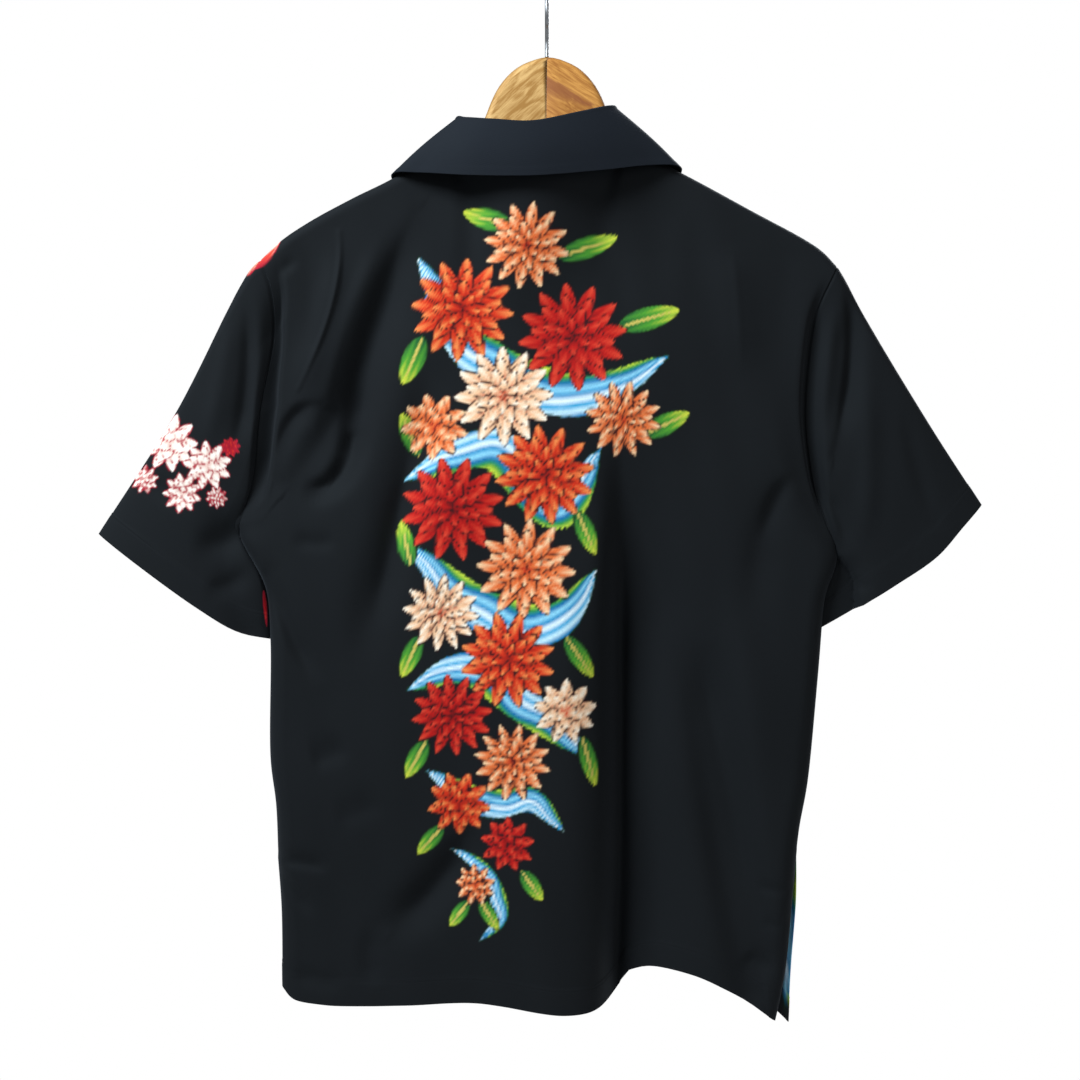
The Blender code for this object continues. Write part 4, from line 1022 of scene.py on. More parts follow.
def shoulder_sprig(printing):
    """A bud that runs over the left shoulder, across back and sleeve."""
    printing.petal((256, -240), (234, -213), 6, ("#a3142a", "#c9402c", "#f6e4cf"), ROSE)
    printing.petal((262, -246), (252, -219), 5, ("#a3142a", "#e8b694", "#fbf0e0"), ROSE)


# %% The back's garland
BACK_BLOOMS = [
    Bloom((18, -222), 38, 0.7, ORANGE),
    Bloom((74, -276), 46, 0.1, SCARLET),
    Bloom((-22, -300), 48, 0.4, CRIMSON),
    Bloom((38, -352), 44, 0.5, CREAM),
    Bloom((-66, -372), 34, 0.2, ORANGE),
    Bloom((98, -378), 30, 0.6, ORANGE),
    Bloom((2, -420), 44, 0.9, SCARLET),
    Bloom((82, -450), 46, 0.3, CRIMSON),
    Bloom((18, -502), 44, 0.6, ORANGE),
    Bloom((92, -540), 34, 0.1, CREAM),
    Bloom((34, -580), 42, 0.8, SCARLET),
    Bloom((-16, -624), 28, 0.2, CREAM),
    Bloom((82, -628), 36, 0.4, CRIMSON),
    Bloom((30, -668), 34, 0.2, ORANGE),
    Bloom((76, -704), 28, 0.5, SCARLET),
    Bloom((34, -738), 24, 0.9, CRIMSON),
    Bloom((62, -774), 18, 0.1, ORANGE),
]
BACK_STREAMS = [
    ([(112, -232), (58, -318), (-30, -352), (-104, -318)], 22),
    ([(-46, -398), (-10, -452), (48, -398), (124, -424)], 20),
    ([(120, -482), (52, -540), (-6, -548), (-42, -504)], 20),
    ([(-38, -664), (16, -622), (70, -588), (120, -606)], 17),
    ([(104, -676), (52, -704), (14, -700), (-14, -726)], 13),
    ([(84, -744), (54, -762), (40, -800), (58, -822)], 8),
]
BACK_LEAVES = [
    ((30, -206), (74, -190), 10),
    ((-10, -232), (-62, -212), 10),
    ((-62, -292), (-116, -276), 11),
    ((108, -300), (126, -342), 11),
    ((-84, -386), (-124, -366), 10),
    ((-26, -452), (-42, -490), 9),
    ((112, -404), (127, -366), 9),
    ((118, -500), (128, -460), 9),
    ((-16, -560), (-40, -596), 9),
    ((110, -560), (126, -596), 9),
    ((-30, -646), (-42, -690), 8),
    ((104, -650), (122, -682), 9),
    ((90, -724), (112, -748), 8),
    ((22, -760), (4, -786), 8),
    ((58, -786), (42, -812), 7),
    ((68, -788), (84, -810), 7),
]

# %% The front's and the left sleeve's
FRONT_BLOOMS = [
    Bloom((160, -330), 42, 0.3, CRIMSON),
    Bloom((214, -262), 32, 0.8, CREAM),
    Bloom((112, -412), 40, 0.5, ORANGE),
    Bloom((66, -486), 44, 0.1, SCARLET),
    Bloom((4, -562), 42, 0.6, CREAM),
    Bloom((-52, -640), 40, 0.2, CRIMSON),
    Bloom((-112, -712), 44, 0.9, ORANGE),
    Bloom((-166, -790), 38, 0.4, SCARLET),
    Bloom((-188, -852), 26, 0.7, CREAM),
]
FRONT_STREAMS = [
    ([(-216, -744), (-211, -800), (-214, -850), (-206, -900)], 11),
    ([(-150, -690), (-190, -740), (-160, -800), (-196, -860)], 18),
    ([(150, -470), (96, -520), (60, -560), (10, -500)], 18),
    ([(20, -630), (-40, -560), (-90, -600), (-120, -680)], 18),
    ([(236, -300), (190, -360), (140, -370), (96, -330)], 16),
]
FRONT_LEAVES = [
    ((190, -296), (160, -262), 11),
    ((128, -376), (96, -352), 11),
    ((150, -402), (190, -420), 11),
    ((40, -452), (10, -424), 11),
    ((96, -520), (132, -548), 11),
    ((-30, -590), (-70, -574), 11),
    ((20, -610), (44, -650), 11),
    ((-88, -672), (-128, -654), 11),
    ((-70, -740), (-40, -780), 11),
    ((-140, -790), (-106, -830), 11),
]
SLEEVE_BLOOMS = [
    Bloom((330, -392), 26, 0.4, WHITE, ROSE),
    Bloom((296, -412), 22, 0.1, WHITE, ROSE),
    Bloom((318, -436), 18, 0.7, WHITE, ROSE),
    Bloom((352, -424), 13, 0.2, WHITE, ROSE),
    Bloom((288, -440), 10, 0.5, WHITE, ROSE),
    Bloom((344, -372), 10, 0.3, CRIMSON, ROSE),
    Bloom((276, -396), 9, 0.9, CRIMSON, ROSE),
]

# %% [markdown]
# ## Hems and stitching
#
# A hem is cloth turned up and stitched, so it is a little thicker, and the stitch line pulls a shallow
# groove along its upper edge. Both are a change of height by the distance from the cut edge. The grid
# gets a few closely spaced lines where the groove runs.

# %% Hem and seam heights
HEM_DEEP = 22.0
VENT_DEEP = 9.0
TURNED_THICK, TURNED_SOFT = 0.4, 1.4  # how much thicker a hem is, and over what its edge fades
STITCH_INSIDE = 2.0  # how far below a hem's upper edge its stitch line runs
STITCH_DEEP, STITCH_WIDE = 0.25, 0.7
GROOVE_LINES = np.array([-1.7, -1.0, -0.45, 0, 0.45, 1.0, 1.7])


def turned_edge(distance, deep):
    """The height of a turned and stitched edge, which is 0 beyond its upper edge."""
    thick = TURNED_THICK * (1 - smooth_step((distance - deep) / TURNED_SOFT + 0.5))
    groove = STITCH_DEEP * np.exp(-(((distance - deep + STITCH_INSIDE) / STITCH_WIDE) ** 2))
    return thick - groove


def groove_lines(deep, length):
    """Grid lines round a stitch line this deep, on a piece of this length."""
    return (deep - STITCH_INSIDE + GROOVE_LINES) / length


def stitched(grid, normals, side_v):
    """A panel's grid with its hem and its vents."""
    down = running_length(grid, 0)
    left = running_length(grid, 1)
    right = left[:, -1:] - left
    height = turned_edge(down, HEM_DEEP)
    at_vent = (1 - smooth_step((side_v - V_VENT) / 0.01))[:, None]
    for gap in (left, right):
        height = height + turned_edge(gap, VENT_DEEP) * at_vent
    return grid + normals * height[..., None]


# %% Making a panel
PANEL_LENGTH = 740.0
PANEL_WIDTH = 480.0
SIDE_LINES = np.array([0.0008, 0.0025, 0.005, 0.008, 0.0115, 0.016, 0.021, 0.027])
TOP_LINES = 1 - np.array([0.0006, 0.002, 0.0045, 0.008])


def level_seams(normals, u, v):
    """Where two panels are sewn together, their edges face straight outwards."""
    u_grid, v_grid = np.meshgrid(u, v)
    at_side = (u_grid < TINY) | (u_grid > 1 - TINY)
    sewn_side = at_side & (v_grid <= V_UNDERARM) & (v_grid >= V_VENT)
    off_neck = (u_grid <= U_NECK_LEFT) | (u_grid >= U_NECK_RIGHT)
    normals[sewn_side | ((v_grid > 1 - TINY) & off_neck), 1] = 0
    return normals / np.linalg.norm(normals, axis=-1, keepdims=True)


def panel_lines(middle_columns, rows):
    """The u and v of a panel's grid: fine ones at the sides, the stitch lines and the shoulder."""
    side = np.concatenate([SIDE_LINES, groove_lines(VENT_DEEP, PANEL_WIDTH)])
    u = with_lines(2, side, 1 - side, middle_columns, [U_NECK_LEFT, U_NECK_RIGHT])
    v = with_lines(rows, groove_lines(HEM_DEEP, PANEL_LENGTH), TOP_LINES, [V_VENT, V_UNDERARM])
    return u, v


def make_panel(name, panel, u, v, blooms, streams, leaves):
    """The back or the front as a shell, with its hem, its vents and its print."""
    grid = panel.surface(u, v)
    normals = grid_normals(grid)
    normals *= np.sign(normals[..., 1:2].mean()) * (1 if panel.side == "back" else -1)
    normals = level_seams(normals, u, v)
    printing = Printing(grid[..., 0], grid[..., 2])
    garland(printing, blooms, streams, leaves)
    shoulder_sprig(printing)
    dressed = stitched(grid, normals, v)
    across = running_length(grid, 1)
    from_side = np.minimum(across, across[:, -1:] - across)
    turned_in = (from_side < VENT_DEEP) & (v[:, None] < V_VENT)
    ink = printing.on_grid(grid.shape)
    return shell(name, dressed, normals, pique, ink=ink, turned_in=turned_in)


# %% The back and the front
BACK_STRIPS = [(0.0135, 0.05, 16), (0.05, 0.145, 32), (0.145, 0.24, 17), (0.24, 0.77, 134), (0.77, 0.97, 36)]
back_u, back_v = panel_lines(np.concatenate([np.linspace(*span) for span in BACK_STRIPS]), rows=330)
back = make_panel("cloth_back", BACK, back_u, back_v, BACK_BLOOMS, BACK_STREAMS, BACK_LEAVES)
put_on(back, "back", (0.56, 0.76), 0.36, "hanger_left", "hanger_right")

front_u, front_v = panel_lines(np.linspace(0.03, 0.97, 206), rows=320)
front = make_panel("cloth_front", FRONT, front_u, front_v, FRONT_BLOOMS, FRONT_STREAMS, FRONT_LEAVES)
put_on(front, "front", (0.56, 0.76), 0.36, "hanger_left", "hanger_right")

# %% [markdown]
# ## The sleeves
#
# Each sleeve is a tube, drawn as rings from the armhole to the hem. A ring runs from the top fold down
# the back to the underarm and up the front. Its points crowd together at the two folds, where the
# cloth turns quickly. At the armhole the body's edge laps over the sleeve, so the sleeve's first ring
# lies a little lower and slips underneath.


# %% One half of a sleeve
SLEEVE_LENGTH = 250.0
SLEEVE_RIPPLE = 0.6  # the share of the body's unevenness that a sleeve has
SLEEVE_TUCK, SLEEVE_LOWER = 2.2, 0.95  # how far its first ring slips under the body, and how much lower
LOWER_RUN = 0.012  # the share of the sleeve's length over which it rises again
TOP_RINGS = [0.004, 0.008, 0.015, 0.03]
LEAST_HALF_OPEN = 2.0


def fold_spacing(count):
    """Shares from 0 to 1 that crowd together at both ends."""
    t = np.linspace(0, 1, count)
    return 0.45 * t + 0.55 * (1 - np.cos(np.pi * t)) / 2


def sleeve_half(panel, side_u, edges, folds, share, along):
    """The back or the front of a sleeve, as a grid from its top fold to its underarm (share) and from
    the armhole to its hem (along)."""
    sign, outward = (1 if panel.side == "back" else -1), (1 if side_u == 0 else -1)
    seam_v = 1 - share * (1 - V_UNDERARM)
    bulge = np.sqrt(1 - (1 - 2 * share) ** 2)[:, None]
    top, under = smooth_curve(edges["top"]), smooth_curve(edges["under"])
    seam = (panel.left if side_u == 0 else panel.right)(seam_v)
    seam[:, 0] += outward * ARMHOLE_GAP
    seam[0], seam[-1] = edges["top"][0], edges["under"][0]
    hem = smooth_curve(edges[panel.side + "_hem"])
    place = pushed(patch(top, under, curve_of(share, seam), hem, along, share))
    seam_y = panel.surface(np.array([float(side_u)]), seam_v)[:, :, 1]
    seam_y[[0, -1]] = 0
    hem_y = sign * SLEEVE_HEM_DEPTH * bulge
    lift = fold_height(folds, place[..., 0], place[..., 1])
    lift += SLEEVE_RIPPLE * ripple(place[..., 0], place[..., 1], seed=5 + side_u)
    lift *= smooth_step(along / SLEEVE_FOLD_START)
    sink = seam_sink(panel.side, side_u, seam_v, np.zeros_like(seam_v))[:, None]
    from_seam = along * np.linalg.norm(place[:, -1:] - place[:, :1], axis=-1)
    lift *= np.sqrt(bulge) * (1 if sign > 0 else FRONT_SINK_SHARE)
    lift -= seam_sink(panel.side, side_u, seam_v[:, None], from_seam)
    y = (seam_y + sign * sink) * (1 - along) + hem_y * along + sign * lift
    y = sign * np.maximum(sign * y, LEAST_HALF_OPEN * np.sqrt(bulge))
    return np.stack([place[..., 0], y, place[..., 1]], axis=-1)


# %% The whole sleeve
def make_sleeve(name, side_u, edges, folds, half_ring, rings, blooms=()):
    """A sleeve of the wearer's left (side_u 0) or right (1), with its hem, its tuck and its print."""
    share = np.unique(np.concatenate([fold_spacing(half_ring), [0.0004, 0.0015, 0.9985, 0.9996]]))
    along = with_lines(rings, TOP_RINGS, 1 - groove_lines(HEM_DEEP, SLEEVE_LENGTH))
    halves = [sleeve_half(panel, side_u, edges, folds, share, along) for panel in (BACK, FRONT)]
    grid = np.concatenate([halves[0], halves[1][-2:0:-1]]).transpose(1, 0, 2)
    normals = grid_normals(grid, ring=True)
    normals *= np.sign(normals[rings // 2, len(share) // 2, 1])
    from_hem = running_length(grid, 0)
    height = turned_edge(from_hem[-1:] - from_hem, HEM_DEEP)
    height -= SLEEVE_LOWER * (1 - smooth_step(along / LOWER_RUN))[:, None]
    dressed = grid + normals * height[..., None]
    outward = 1 if side_u == 0 else -1
    tuck = dressed[:1] - np.array([outward * SLEEVE_TUCK, 0, 0])
    dressed, normals = np.concatenate([tuck, dressed]), np.concatenate([normals[:1], normals])
    printing = Printing(dressed[..., 0], dressed[..., 2])
    garland(printing, blooms, [], [])
    if side_u == 0:
        shoulder_sprig(printing)
        printing.petal((248.5, -521), (246, -553), 1.4, CRIMSON, ROSE, edge=0.6)
    ink = printing.on_grid(dressed.shape)
    ink[dressed[..., 1] < 0] = BARE
    return shell(name, dressed, normals, pique, ring=True, ink=ink)


# %% Both sleeves
left_folds, right_folds = SLEEVE_FOLDS_LEFT + SLEEVE_CREASES_LEFT, SLEEVE_FOLDS_RIGHT + SLEEVE_CREASES_RIGHT
left_sleeve = make_sleeve("cloth_sleeve_left", 0, SLEEVE_LEFT, left_folds, 118, 118, SLEEVE_BLOOMS)
put_on(left_sleeve, "sleeve_left", (0.5, 0.28), 0.055, "cloth_back")

right_sleeve = make_sleeve("cloth_sleeve_right", 1, SLEEVE_RIGHT, right_folds, 92, 88)
put_on(right_sleeve, "sleeve_right", (0.5, 0.26), 0.05, "cloth_back")

# %% [markdown]
# ## The collar
#
# A polo collar is a flat-knit strip, firmer than the body's cloth. Its section is a stand that rises
# from the neck seam, a tight roll, and a fall that drops outside. The stations give the roll and the
# edge round the neck, and a cubic curve runs through them.


# %% The neck seam
def neck_seam(count):
    """The neck seam from the left front round the back to the right front, by quarters of the way."""
    middle = (U_NECK_LEFT + U_NECK_RIGHT) / 2
    half = middle - U_NECK_LEFT
    top = np.array([1.0])
    left_front = np.linspace(middle, U_NECK_LEFT, count)
    round_back = np.linspace(U_NECK_LEFT, U_NECK_RIGHT, 2 * count)
    right_front = np.linspace(U_NECK_RIGHT, middle, count)
    quarters = [(middle - left_front) / half, 1 + (round_back - U_NECK_LEFT) / half]
    quarters.append(3 + (U_NECK_RIGHT - right_front) / half)
    left, right = (FRONT.surface(u[::-1], top)[0][::-1] for u in (left_front, right_front))
    shares = np.concatenate(quarters)
    places = np.concatenate([left, BACK.surface(round_back, top)[0], right])
    places[:, 1] = np.where(np.abs(places[:, 1]) < 2 * HALF_GAP, 0, places[:, 1])
    shares, first = np.unique(shares.round(6), return_index=True)
    return shares, places[first]


# %% Making the collar
COLLAR_COLUMNS, STAND_POINTS, ROLL_POINTS, FALL_POINTS = 230, 12, 9, 27
STAND_CLEAR = 0.5
COLLAR_STITCH, COLLAR_TURNED = 6.0, 0.7  # the stitch line's place, and the share of a hem's height


def make_collar():
    """The collar as a shell, from the neck seam up the stand, over the roll and down the fall."""
    key = np.array([station.seam for station in COLLAR])
    stations = np.unique(np.concatenate([np.linspace(key[0], key[-1], COLLAR_COLUMNS), key]))
    seams = curve_of(*neck_seam(60))(stations)
    rolls = through(key, [station.roll for station in COLLAR], stations)
    edges = through(key, [station.edge for station in COLLAR], stations)
    rows = []
    for seam, roll, edge in zip(seams, rolls, edges):
        out = np.array([roll[0] - CENTRE_X, roll[1] * COLLAR_FACING, 0])
        out /= np.linalg.norm(out)
        seam = seam - out * (CLOTH_THICK + STAND_CLEAR) - (0, 0, STAND_TUCK)
        inner, outer = roll - out * COLLAR_ROLL, roll + out * COLLAR_ROLL
        section = [seam + (inner - seam) * t for t in np.linspace(0, 1, STAND_POINTS, endpoint=False)]
        for angle in np.linspace(np.pi, 0, ROLL_POINTS):
            section.append(roll + COLLAR_ROLL * (np.cos(angle) * out + (0, 0, np.sin(angle))))
        for down in np.linspace(0, 1, FALL_POINTS)[1:]:
            section.append(outer + (edge - outer) * down + out * COLLAR_BOW * np.sin(np.pi * down))
        rows.append(section)
    grid = np.array(rows)
    normals = grid_normals(grid)
    normals *= np.sign(normals[len(normals) // 2, -1][1])
    to_edge = running_length(grid, 1)
    to_edge = to_edge[:, -1:] - to_edge
    grid = grid + normals * (turned_edge(to_edge, COLLAR_STITCH) * COLLAR_TURNED)[..., None]
    return shell("cloth_collar", grid, normals, collar_knit, thick=COLLAR_THICK)


collar = make_collar()
put_on(collar, "collar", (0.5, 0.09), 0.042, "cloth_back", "cloth_front")

# %% [markdown]
# ## Placket and buttons
#
# The placket is two bands of the same cloth. The upper one lies on the front with its edges stitched
# down, and the lower one lies behind the opening. Three buttons close it.

# %% The two bands
FRONT_HEM_Z = -866.0
PLACKET_WIDTH = 30.0
PLACKET_RAISE = 1.0
BAND_BEHIND = 1.3
BAND_OVERLAP = 0.6
UNDER_BAND_OVERLAP = 7.0
BAND_STITCH, BAND_STITCH_DEEP, BAND_STITCH_WIDE = 2.2, 0.3, 0.8
BAND_COLUMNS, BAND_ROWS = 29, 84
NECK_WIDE = FRONT_NECK[0][0] - FRONT_NECK[-1][0]


def make_band(name, overlap, raised, stitch):
    """A placket band as a shell that lies this far off the front. "stitch" is the share of the
    stitch line's depth that shows."""
    half = (PLACKET_WIDTH / 2 + overlap) / NECK_WIDE * (U_NECK_RIGHT - U_NECK_LEFT)
    middle = (U_NECK_LEFT + U_NECK_RIGHT) / 2
    low = V_PLACKET - overlap / (FRONT_NECK[2][1] - FRONT_HEM_Z)
    u = np.linspace(middle - half, middle + half, BAND_COLUMNS)
    v = np.linspace(low, 1, BAND_ROWS)
    grid = FRONT.surface(u, v)
    normals = grid_normals(grid)
    normals *= -np.sign(normals[..., 1].mean())
    left, down = running_length(grid, 1), running_length(grid, 0)
    nearest = np.minimum(np.minimum(left, left[:, -1:] - left), down)
    groove = BAND_STITCH_DEEP * np.exp(-(((nearest - BAND_STITCH) / BAND_STITCH_WIDE) ** 2)) * stitch
    grid = grid + normals * (raised - groove)[..., None]
    return shell(name, grid, normals, pique)


over_band = make_band("cloth_placket_over", BAND_OVERLAP, PLACKET_RAISE, 1)
put_on(over_band, "placket_over", (0.032, 0.17), None, "cloth_front")
under_band = make_band("cloth_placket_under", UNDER_BAND_OVERLAP, -BAND_BEHIND, 0)
put_on(under_band, "placket_under", (0.044, 0.17), None, "cloth_front")

# %% [markdown]
# A shirt button is cast in resin and turned: a flat disc with a raised rim, a shallow dish and four
# holes. Here a cylinder gets its rim with inset and its holes with a boolean, and the thread that holds
# it crosses the dish. It is made once, at the origin, and copied to each button's place.

# %% Button resin and thread
resin, tree, shader = new_material(
    "cast polyester button resin",
    {"Base Color": linear("#14161a"), "Roughness": 0.32, "IOR": 1.55, "Coat Weight": 0.2},
)
place = node(tree, "TexCoord").outputs["Object"]
swirl = node(tree, "TexNoise", {"Vector": place, "Scale": 260.0, "Detail": 4.0, "Distortion": 1.2})
cloudy = node(tree, "Mix", {0: swirl, 6: linear("#0e1013"), 7: linear("#24282e")}, data_type="RGBA")
tree.links.new(cloudy.outputs[2], shader.inputs["Base Color"])
thread = {"Base Color": linear("#191b1f"), "Roughness": 0.7, "Sheen Weight": 0.2}
cord_thread = new_material("sewing thread", thread)[0]

# %% One button
BUTTON_RADIUS = 5.5 * MM
BUTTON_THICK = 2.6 * MM
HOLE_RADIUS = 0.75 * MM
HOLE_OUT = 1.55 * MM
RIM_WIDE, DISH_DEEP = 1.5 * MM, 0.8 * MM
EDGE_ROUND = 0.35 * MM
DRILL_LONG = 8 * MM


def apply_modifier(obj, kind, **settings):
    """Adds a modifier with its settings and applies it."""
    modifier = obj.modifiers.new(kind.title(), kind)
    for name, value in settings.items():
        setattr(modifier, name, value)
    bpy.context.view_layer.objects.active = obj
    bpy.ops.object.modifier_apply(modifier=modifier.name)


blank = {"vertices": 40, "radius": BUTTON_RADIUS, "depth": BUTTON_THICK}
bpy.ops.mesh.primitive_cylinder_add(location=(0, 0, BUTTON_THICK / 2), **blank)
button = bpy.context.object
bpy.ops.object.transform_apply(location=True, rotation=False, scale=False)
bpy.ops.object.mode_set(mode="EDIT")
bpy.ops.mesh.select_mode(type="FACE")
bpy.ops.mesh.select_all(action="DESELECT")
bpy.ops.object.mode_set(mode="OBJECT")
for face in button.data.polygons:
    face.select = face.normal.z > 0.9
bpy.ops.object.mode_set(mode="EDIT")
bpy.ops.mesh.inset(thickness=RIM_WIDE)
bpy.ops.transform.translate(value=(0, 0, -DISH_DEEP))
bpy.ops.object.mode_set(mode="OBJECT")
apply_modifier(button, "BEVEL", width=EDGE_ROUND, segments=3, limit_method="ANGLE", angle_limit=0.6)
for turn in range(4):
    angle = math.pi / 4 + turn * math.pi / 2
    spot = (HOLE_OUT * math.cos(angle), HOLE_OUT * math.sin(angle), BUTTON_THICK / 2)
    bpy.ops.mesh.primitive_cylinder_add(vertices=16, radius=HOLE_RADIUS, depth=DRILL_LONG, location=spot)
    drill = bpy.context.object
    apply_modifier(button, "BOOLEAN", object=drill, operation="DIFFERENCE", solver="EXACT")
    bpy.data.objects.remove(drill)
button.data.materials.append(resin)

# %% The thread through its holes
LOOP_RADIUS, LOOP_OUT = HOLE_OUT * 0.72, HOLE_OUT * 0.7
THREAD_RADIUS, LOOP_HEIGHT = 0.28 * MM, 1.25 * MM

strands = []
for turn in range(4):
    angle = turn * math.pi / 2
    bpy.ops.mesh.primitive_torus_add(
        major_segments=24,
        minor_segments=8,
        major_radius=LOOP_RADIUS,
        minor_radius=THREAD_RADIUS,
        location=(LOOP_OUT * math.cos(angle), LOOP_OUT * math.sin(angle), LOOP_HEIGHT),
        rotation=(math.pi / 2, 0, angle + math.pi / 2),
    )
    strands.append(bpy.context.object)
pick(*strands)
bpy.ops.object.join()
thread_loops = bpy.context.object
bpy.ops.object.transform_apply(location=True, rotation=True, scale=True)
thread_loops.data.materials.append(cord_thread)

# %% The three buttons at their places
for number in (1, 2, 3):
    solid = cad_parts[f"button_{number}"].data
    points = np.array([vertex.co for vertex in solid.vertices])
    middle = points.mean(axis=0)
    facing = np.linalg.svd(points - middle)[2][2]
    facing *= -np.sign(facing[1])
    seat = middle + facing * ((points - middle) @ facing).min()
    turn = Vector(facing).to_track_quat("Z", "Y").to_matrix().to_4x4()
    turn.translation = Vector(seat)
    seated = [f"button_{number}"]
    shapes = ((button, "button", "button", seated), (thread_loops, "button_thread", "cloth", []))
    for shape, name, slot, nodes in shapes:
        mesh = shape.data.copy()
        mesh.transform(turn)
        mesh.shade_smooth()
        mesh.set_sharp_from_angle(angle=math.radians(35))
        stand_for(added(f"{name}_{number}_made", mesh), slot, *nodes)
for shape in (button, thread_loops):
    bpy.data.objects.remove(shape)

# %% [markdown]
# ## The hanger
#
# The hanger is two halves sawn from board and glued at the middle, then sanded and given a thin clear
# varnish. The halves come from different parts of the board: the left is pale with a slanting grain,
# the right is warmer, with a brown wedge of heartwood. Wood grain is noise stretched far along one
# direction, so the coordinates are turned to the grain and squeezed across it. Its bands are about
# 8 mm apart and its pores 1 mm. The flat faces keep flat normals, which is what a weighted normal does,
# so that only the rounded edges catch the light. The solids keep a thin gap between the halves. Light
# shows through it, so it is closed here, and a thin brown line of glue takes its place.


# %% Varnished wood
HUMP_TOP_Z = -52.5
JOINT_LEAN = 0.0157  # how far the joint moves to the wearer's left for each metre down
GLUE_LINE = "#6b4526"
RIM_PAINTED_SHADE = 0.6  # painted shade: how much darker the rounded edge's colour is made, so that it shows no brighter than the flat faces
STREAK_REACH = 43 * MM  # where the brown wedge runs out to a point


def board(name, pale, dark, grain_turn, streak=None):
    """Varnished wood whose grain is turned by an angle. "streak" is a brown wedge: the height of its
    upper edge at the middle, the edge's slope, how deep it reaches below, and its colour."""
    made, tree, shader = new_material(
        name, {"Base Color": linear(pale), "Roughness": 0.66, "Specular IOR Level": 0.22}
    )
    place = node(tree, "TexCoord").outputs["Object"]
    turned = node(tree, "Mapping", {0: place, "Rotation": (0, math.radians(grain_turn), 0)})
    bands = node(tree, "Mapping", {0: turned, "Scale": (34, 60, 125)})
    pores = node(tree, "Mapping", {0: turned, "Scale": (70, 300, 900)})
    broad = node(tree, "TexNoise", {"Vector": bands, "Scale": 1.0, "Detail": 5.0, "Distortion": 1.3})
    fine = node(tree, "TexNoise", {"Vector": pores, "Scale": 1.0, "Detail": 4.0})
    grain = node(tree, "Mix", {0: 0.38, 2: broad.outputs[0], 3: fine.outputs[0]})
    share = node(tree, "MapRange", {0: grain, 1: 0.4, 2: 0.6, 3: 0.0, 4: 1.0})
    colour = node(tree, "Mix", {0: share, 6: linear(pale), 7: linear(dark)}, data_type="RGBA").outputs[2]
    at = node(tree, "SeparateXYZ", {0: place}).outputs
    if streak:
        rise, slope, deep, brown = streak
        line = node(tree, "Math", {0: at["X"], 1: slope, 2: rise}, operation="MULTIPLY_ADD")
        off = node(tree, "Math", {0: at["Z"], 1: line}, operation="SUBTRACT")
        wavy = node(tree, "MapRange", {0: broad, 1: 0.3, 2: 0.7, 3: -2 * MM, 4: 2 * MM})
        moved = node(tree, "Math", {0: off, 1: wavy}, operation="ADD")
        below = node(tree, "MapRange", {0: moved, 1: -1.4 * MM, 2: 0.8 * MM, 3: 1.0, 4: 0.0})
        narrow = node(tree, "MapRange", {0: at["X"], 1: -STREAK_REACH, 2: 0.0, 3: 0.5 * MM, 4: deep})
        ratio = node(tree, "Math", {0: moved, 1: narrow}, operation="DIVIDE")
        fading = node(tree, "MapRange", {0: ratio, 1: -1.05, 2: -0.45, 3: 0.06, 4: 0.82})
        cover = node(tree, "Math", {0: below, 1: fading}, operation="MULTIPLY")
        colour = node(tree, "Mix", {0: cover, 6: colour, 7: linear(brown)}, data_type="RGBA").outputs[2]
    # Painted shade on the rounded edges: where the surface turns away from facing front or back, the wood's
    # colour is mixed toward its dark grain colour and then multiplied darker
    facing = node(tree, "SeparateXYZ", {0: node(tree, "NewGeometry").outputs["Normal"]}).outputs["Y"]
    flat = node(tree, "Math", {0: facing}, operation="ABSOLUTE")
    rim = node(tree, "MapRange", {0: flat, 1: 0.5, 2: 0.97, 3: RIM_PAINTED_SHADE, 4: 0.0})
    joint = node(tree, "Math", {0: at["Z"], 1: JOINT_LEAN, 2: at["X"]}, operation="MULTIPLY_ADD")
    past = node(tree, "Math", {0: joint, 1: -JOINT_LEAN * HUMP_TOP_Z * MM}, operation="ADD")
    from_joint = node(tree, "Math", {0: past}, operation="ABSOLUTE")
    glue = node(tree, "MapRange", {0: from_joint, 1: 0.1 * MM, 2: 0.6 * MM, 3: 0.7, 4: 0.0})
    for cover, tone, blend in (
        (rim, linear(dark), "MIX"),
        (glue, linear(GLUE_LINE), "MIX"),
        (rim, (0.4, 0.4, 0.4, 1.0), "MULTIPLY"),
    ):
        layer = {0: cover, 6: colour, 7: tone}
        colour = node(tree, "Mix", layer, data_type="RGBA", blend_type=blend).outputs[2]
    tree.links.new(colour, shader.inputs["Base Color"])
    bump = node(tree, "Bump", {"Height": fine, "Strength": 0.12, "Distance": 0.0002})
    tree.links.new(bump.outputs[0], shader.inputs["Normal"])
    return made


pale_board = board("pale varnished rubberwood", "#d6ad6e", "#a5773a", -42)
warm_board = board(
    "warm varnished rubberwood", "#cf9449", "#a0662a", 33, streak=(-0.0705, 0.61, 0.021, "#8a4f2c")
)

# %% The hanger's halves
JOINT_CLOSED = 0.14 * MM  # how far each half's joint face moves, so that no light shows through
JOINT_CORNERS = 3 * MM  # only the corners of the joint's face lie so near the middle

for name, finish, side in (("hanger_left", pale_board, 1), ("hanger_right", warm_board, -1)):
    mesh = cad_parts[name].data.copy()
    for vertex in mesh.vertices:
        if abs(vertex.co.x) < JOINT_CORNERS:
            vertex.co.x -= side * JOINT_CLOSED
    half = added(f"{name}_made", mesh)
    pick(half)
    bpy.ops.object.mode_set(mode="EDIT")
    bpy.ops.mesh.select_all(action="SELECT")
    bpy.ops.mesh.remove_doubles(threshold=0.00001)
    bpy.ops.object.mode_set(mode="OBJECT")
    bpy.ops.object.shade_smooth_by_angle(angle=math.radians(40))
    apply_modifier(half, "WEIGHTED_NORMAL", keep_sharp=True)
    mesh.materials.clear()
    mesh.materials.append(finish)
    stand_for(half, "wood", name)
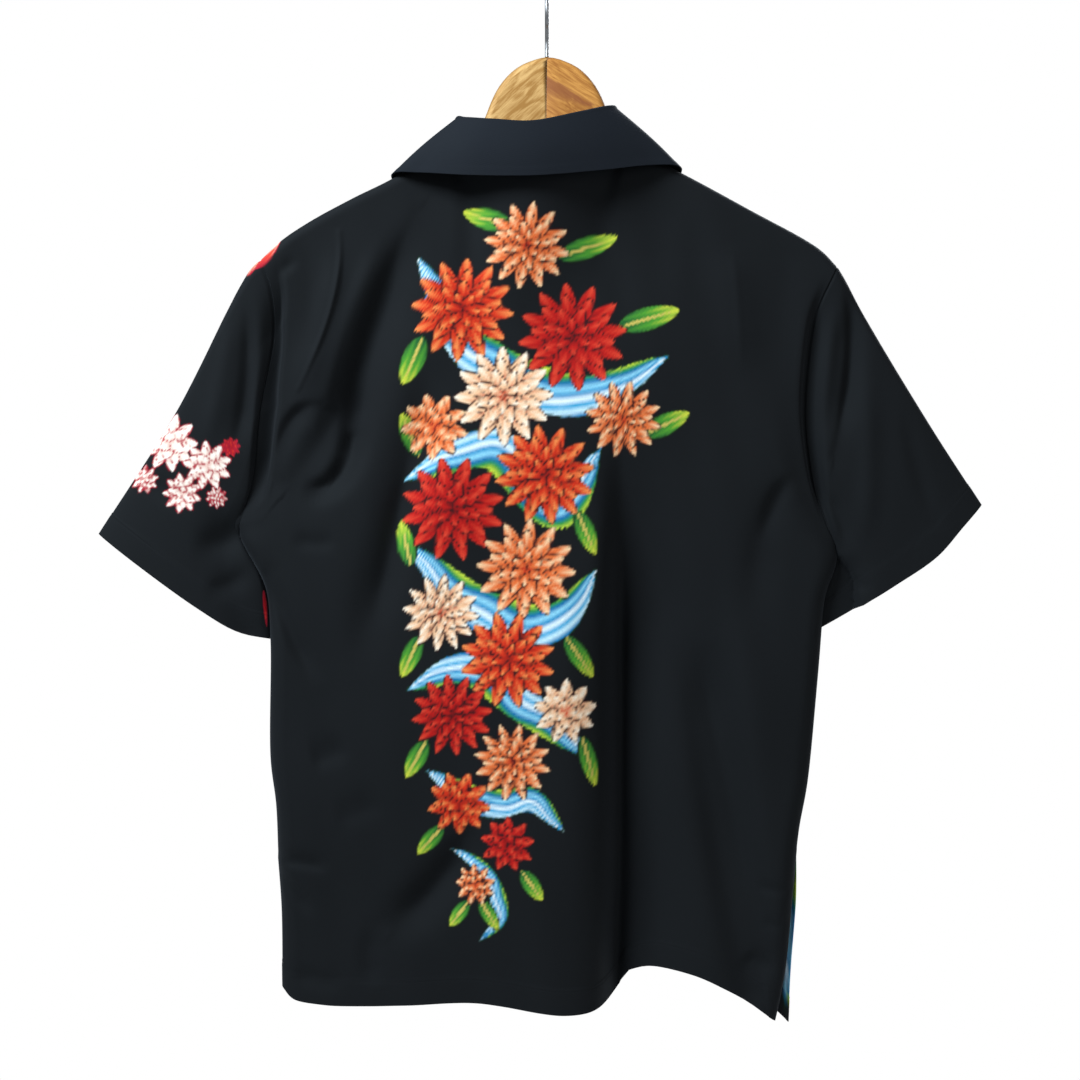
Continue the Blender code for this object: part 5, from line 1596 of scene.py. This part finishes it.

# %% [markdown]
# ## The hook
#
# The hook is a bent steel wire with a satin nickel plate. A curve with a round bevel follows the same
# route as the solid's wire, with more points and sides. Its ends are closed with flat caps, as a
# wire's cut end is always capped or rounded.

# %% Satin steel
steel, tree, shader = new_material(
    "satin nickel-plated steel", {"Base Color": linear("#9a9c9e"), "Metallic": 1.0, "Roughness": 0.4}
)
place = node(tree, "TexCoord").outputs["Object"]
brushed = node(tree, "TexNoise", {"Vector": place, "Scale": 700.0, "Detail": 3.0})
satin = node(tree, "MapRange", {0: brushed, 1: 0.3, 2: 0.7, 3: 0.34, 4: 0.5})
tree.links.new(satin.outputs[0], shader.inputs["Roughness"])

# %% The wire
HOOK_WIRE = 1.8
HOOK_RADIUS = 16.0
HOOK_START, HOOK_END = math.radians(-62), math.radians(205)
HOOK_STEM = [(0, SEAM_GAP), (0, 9), (1, 15)]

turn = np.linspace(HOOK_START, HOOK_END, 22)
loop = [(0, HOOK_RADIUS * math.cos(a), HOOK_WIRE - HOOK_RADIUS + HOOK_RADIUS * math.sin(a)) for a in turn]
stem = [(0, y, HUMP_TOP_Z + height) for y, height in HOOK_STEM]
route = smooth_curve(stem + loop)(np.linspace(0, 1, 120))
wire = bpy.data.curves.new("hook_made", "CURVE")
wire.dimensions = "3D"
wire.bevel_depth = HOOK_WIRE * MM
wire.bevel_resolution = 6
wire.use_fill_caps = True
spline = wire.splines.new("POLY")
spline.points.add(len(route) - 1)
for point, place in zip(spline.points, route * MM):
    point.co = (*place, 1)
pick(added("hook_made", wire))
bpy.ops.object.convert(target="MESH")
hook = bpy.context.object
hook.data.materials.append(steel)
stand_for(hook, "steel", "hook")

# %% [markdown]
# ## Sizes
#
# Both boxes, of the dressed shirt and of the solids, are printed side by side.

# %% Sizes
dressed_box = [[float(value) for value in corner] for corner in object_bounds()]
for axis, low, high, cad_low, cad_high in zip("XYZ", *dressed_box, *cad_box):
    print(f"{axis}: {(high - low) / MM:.1f} mm dressed, {(cad_high - cad_low) / MM:.1f} mm in the solids")
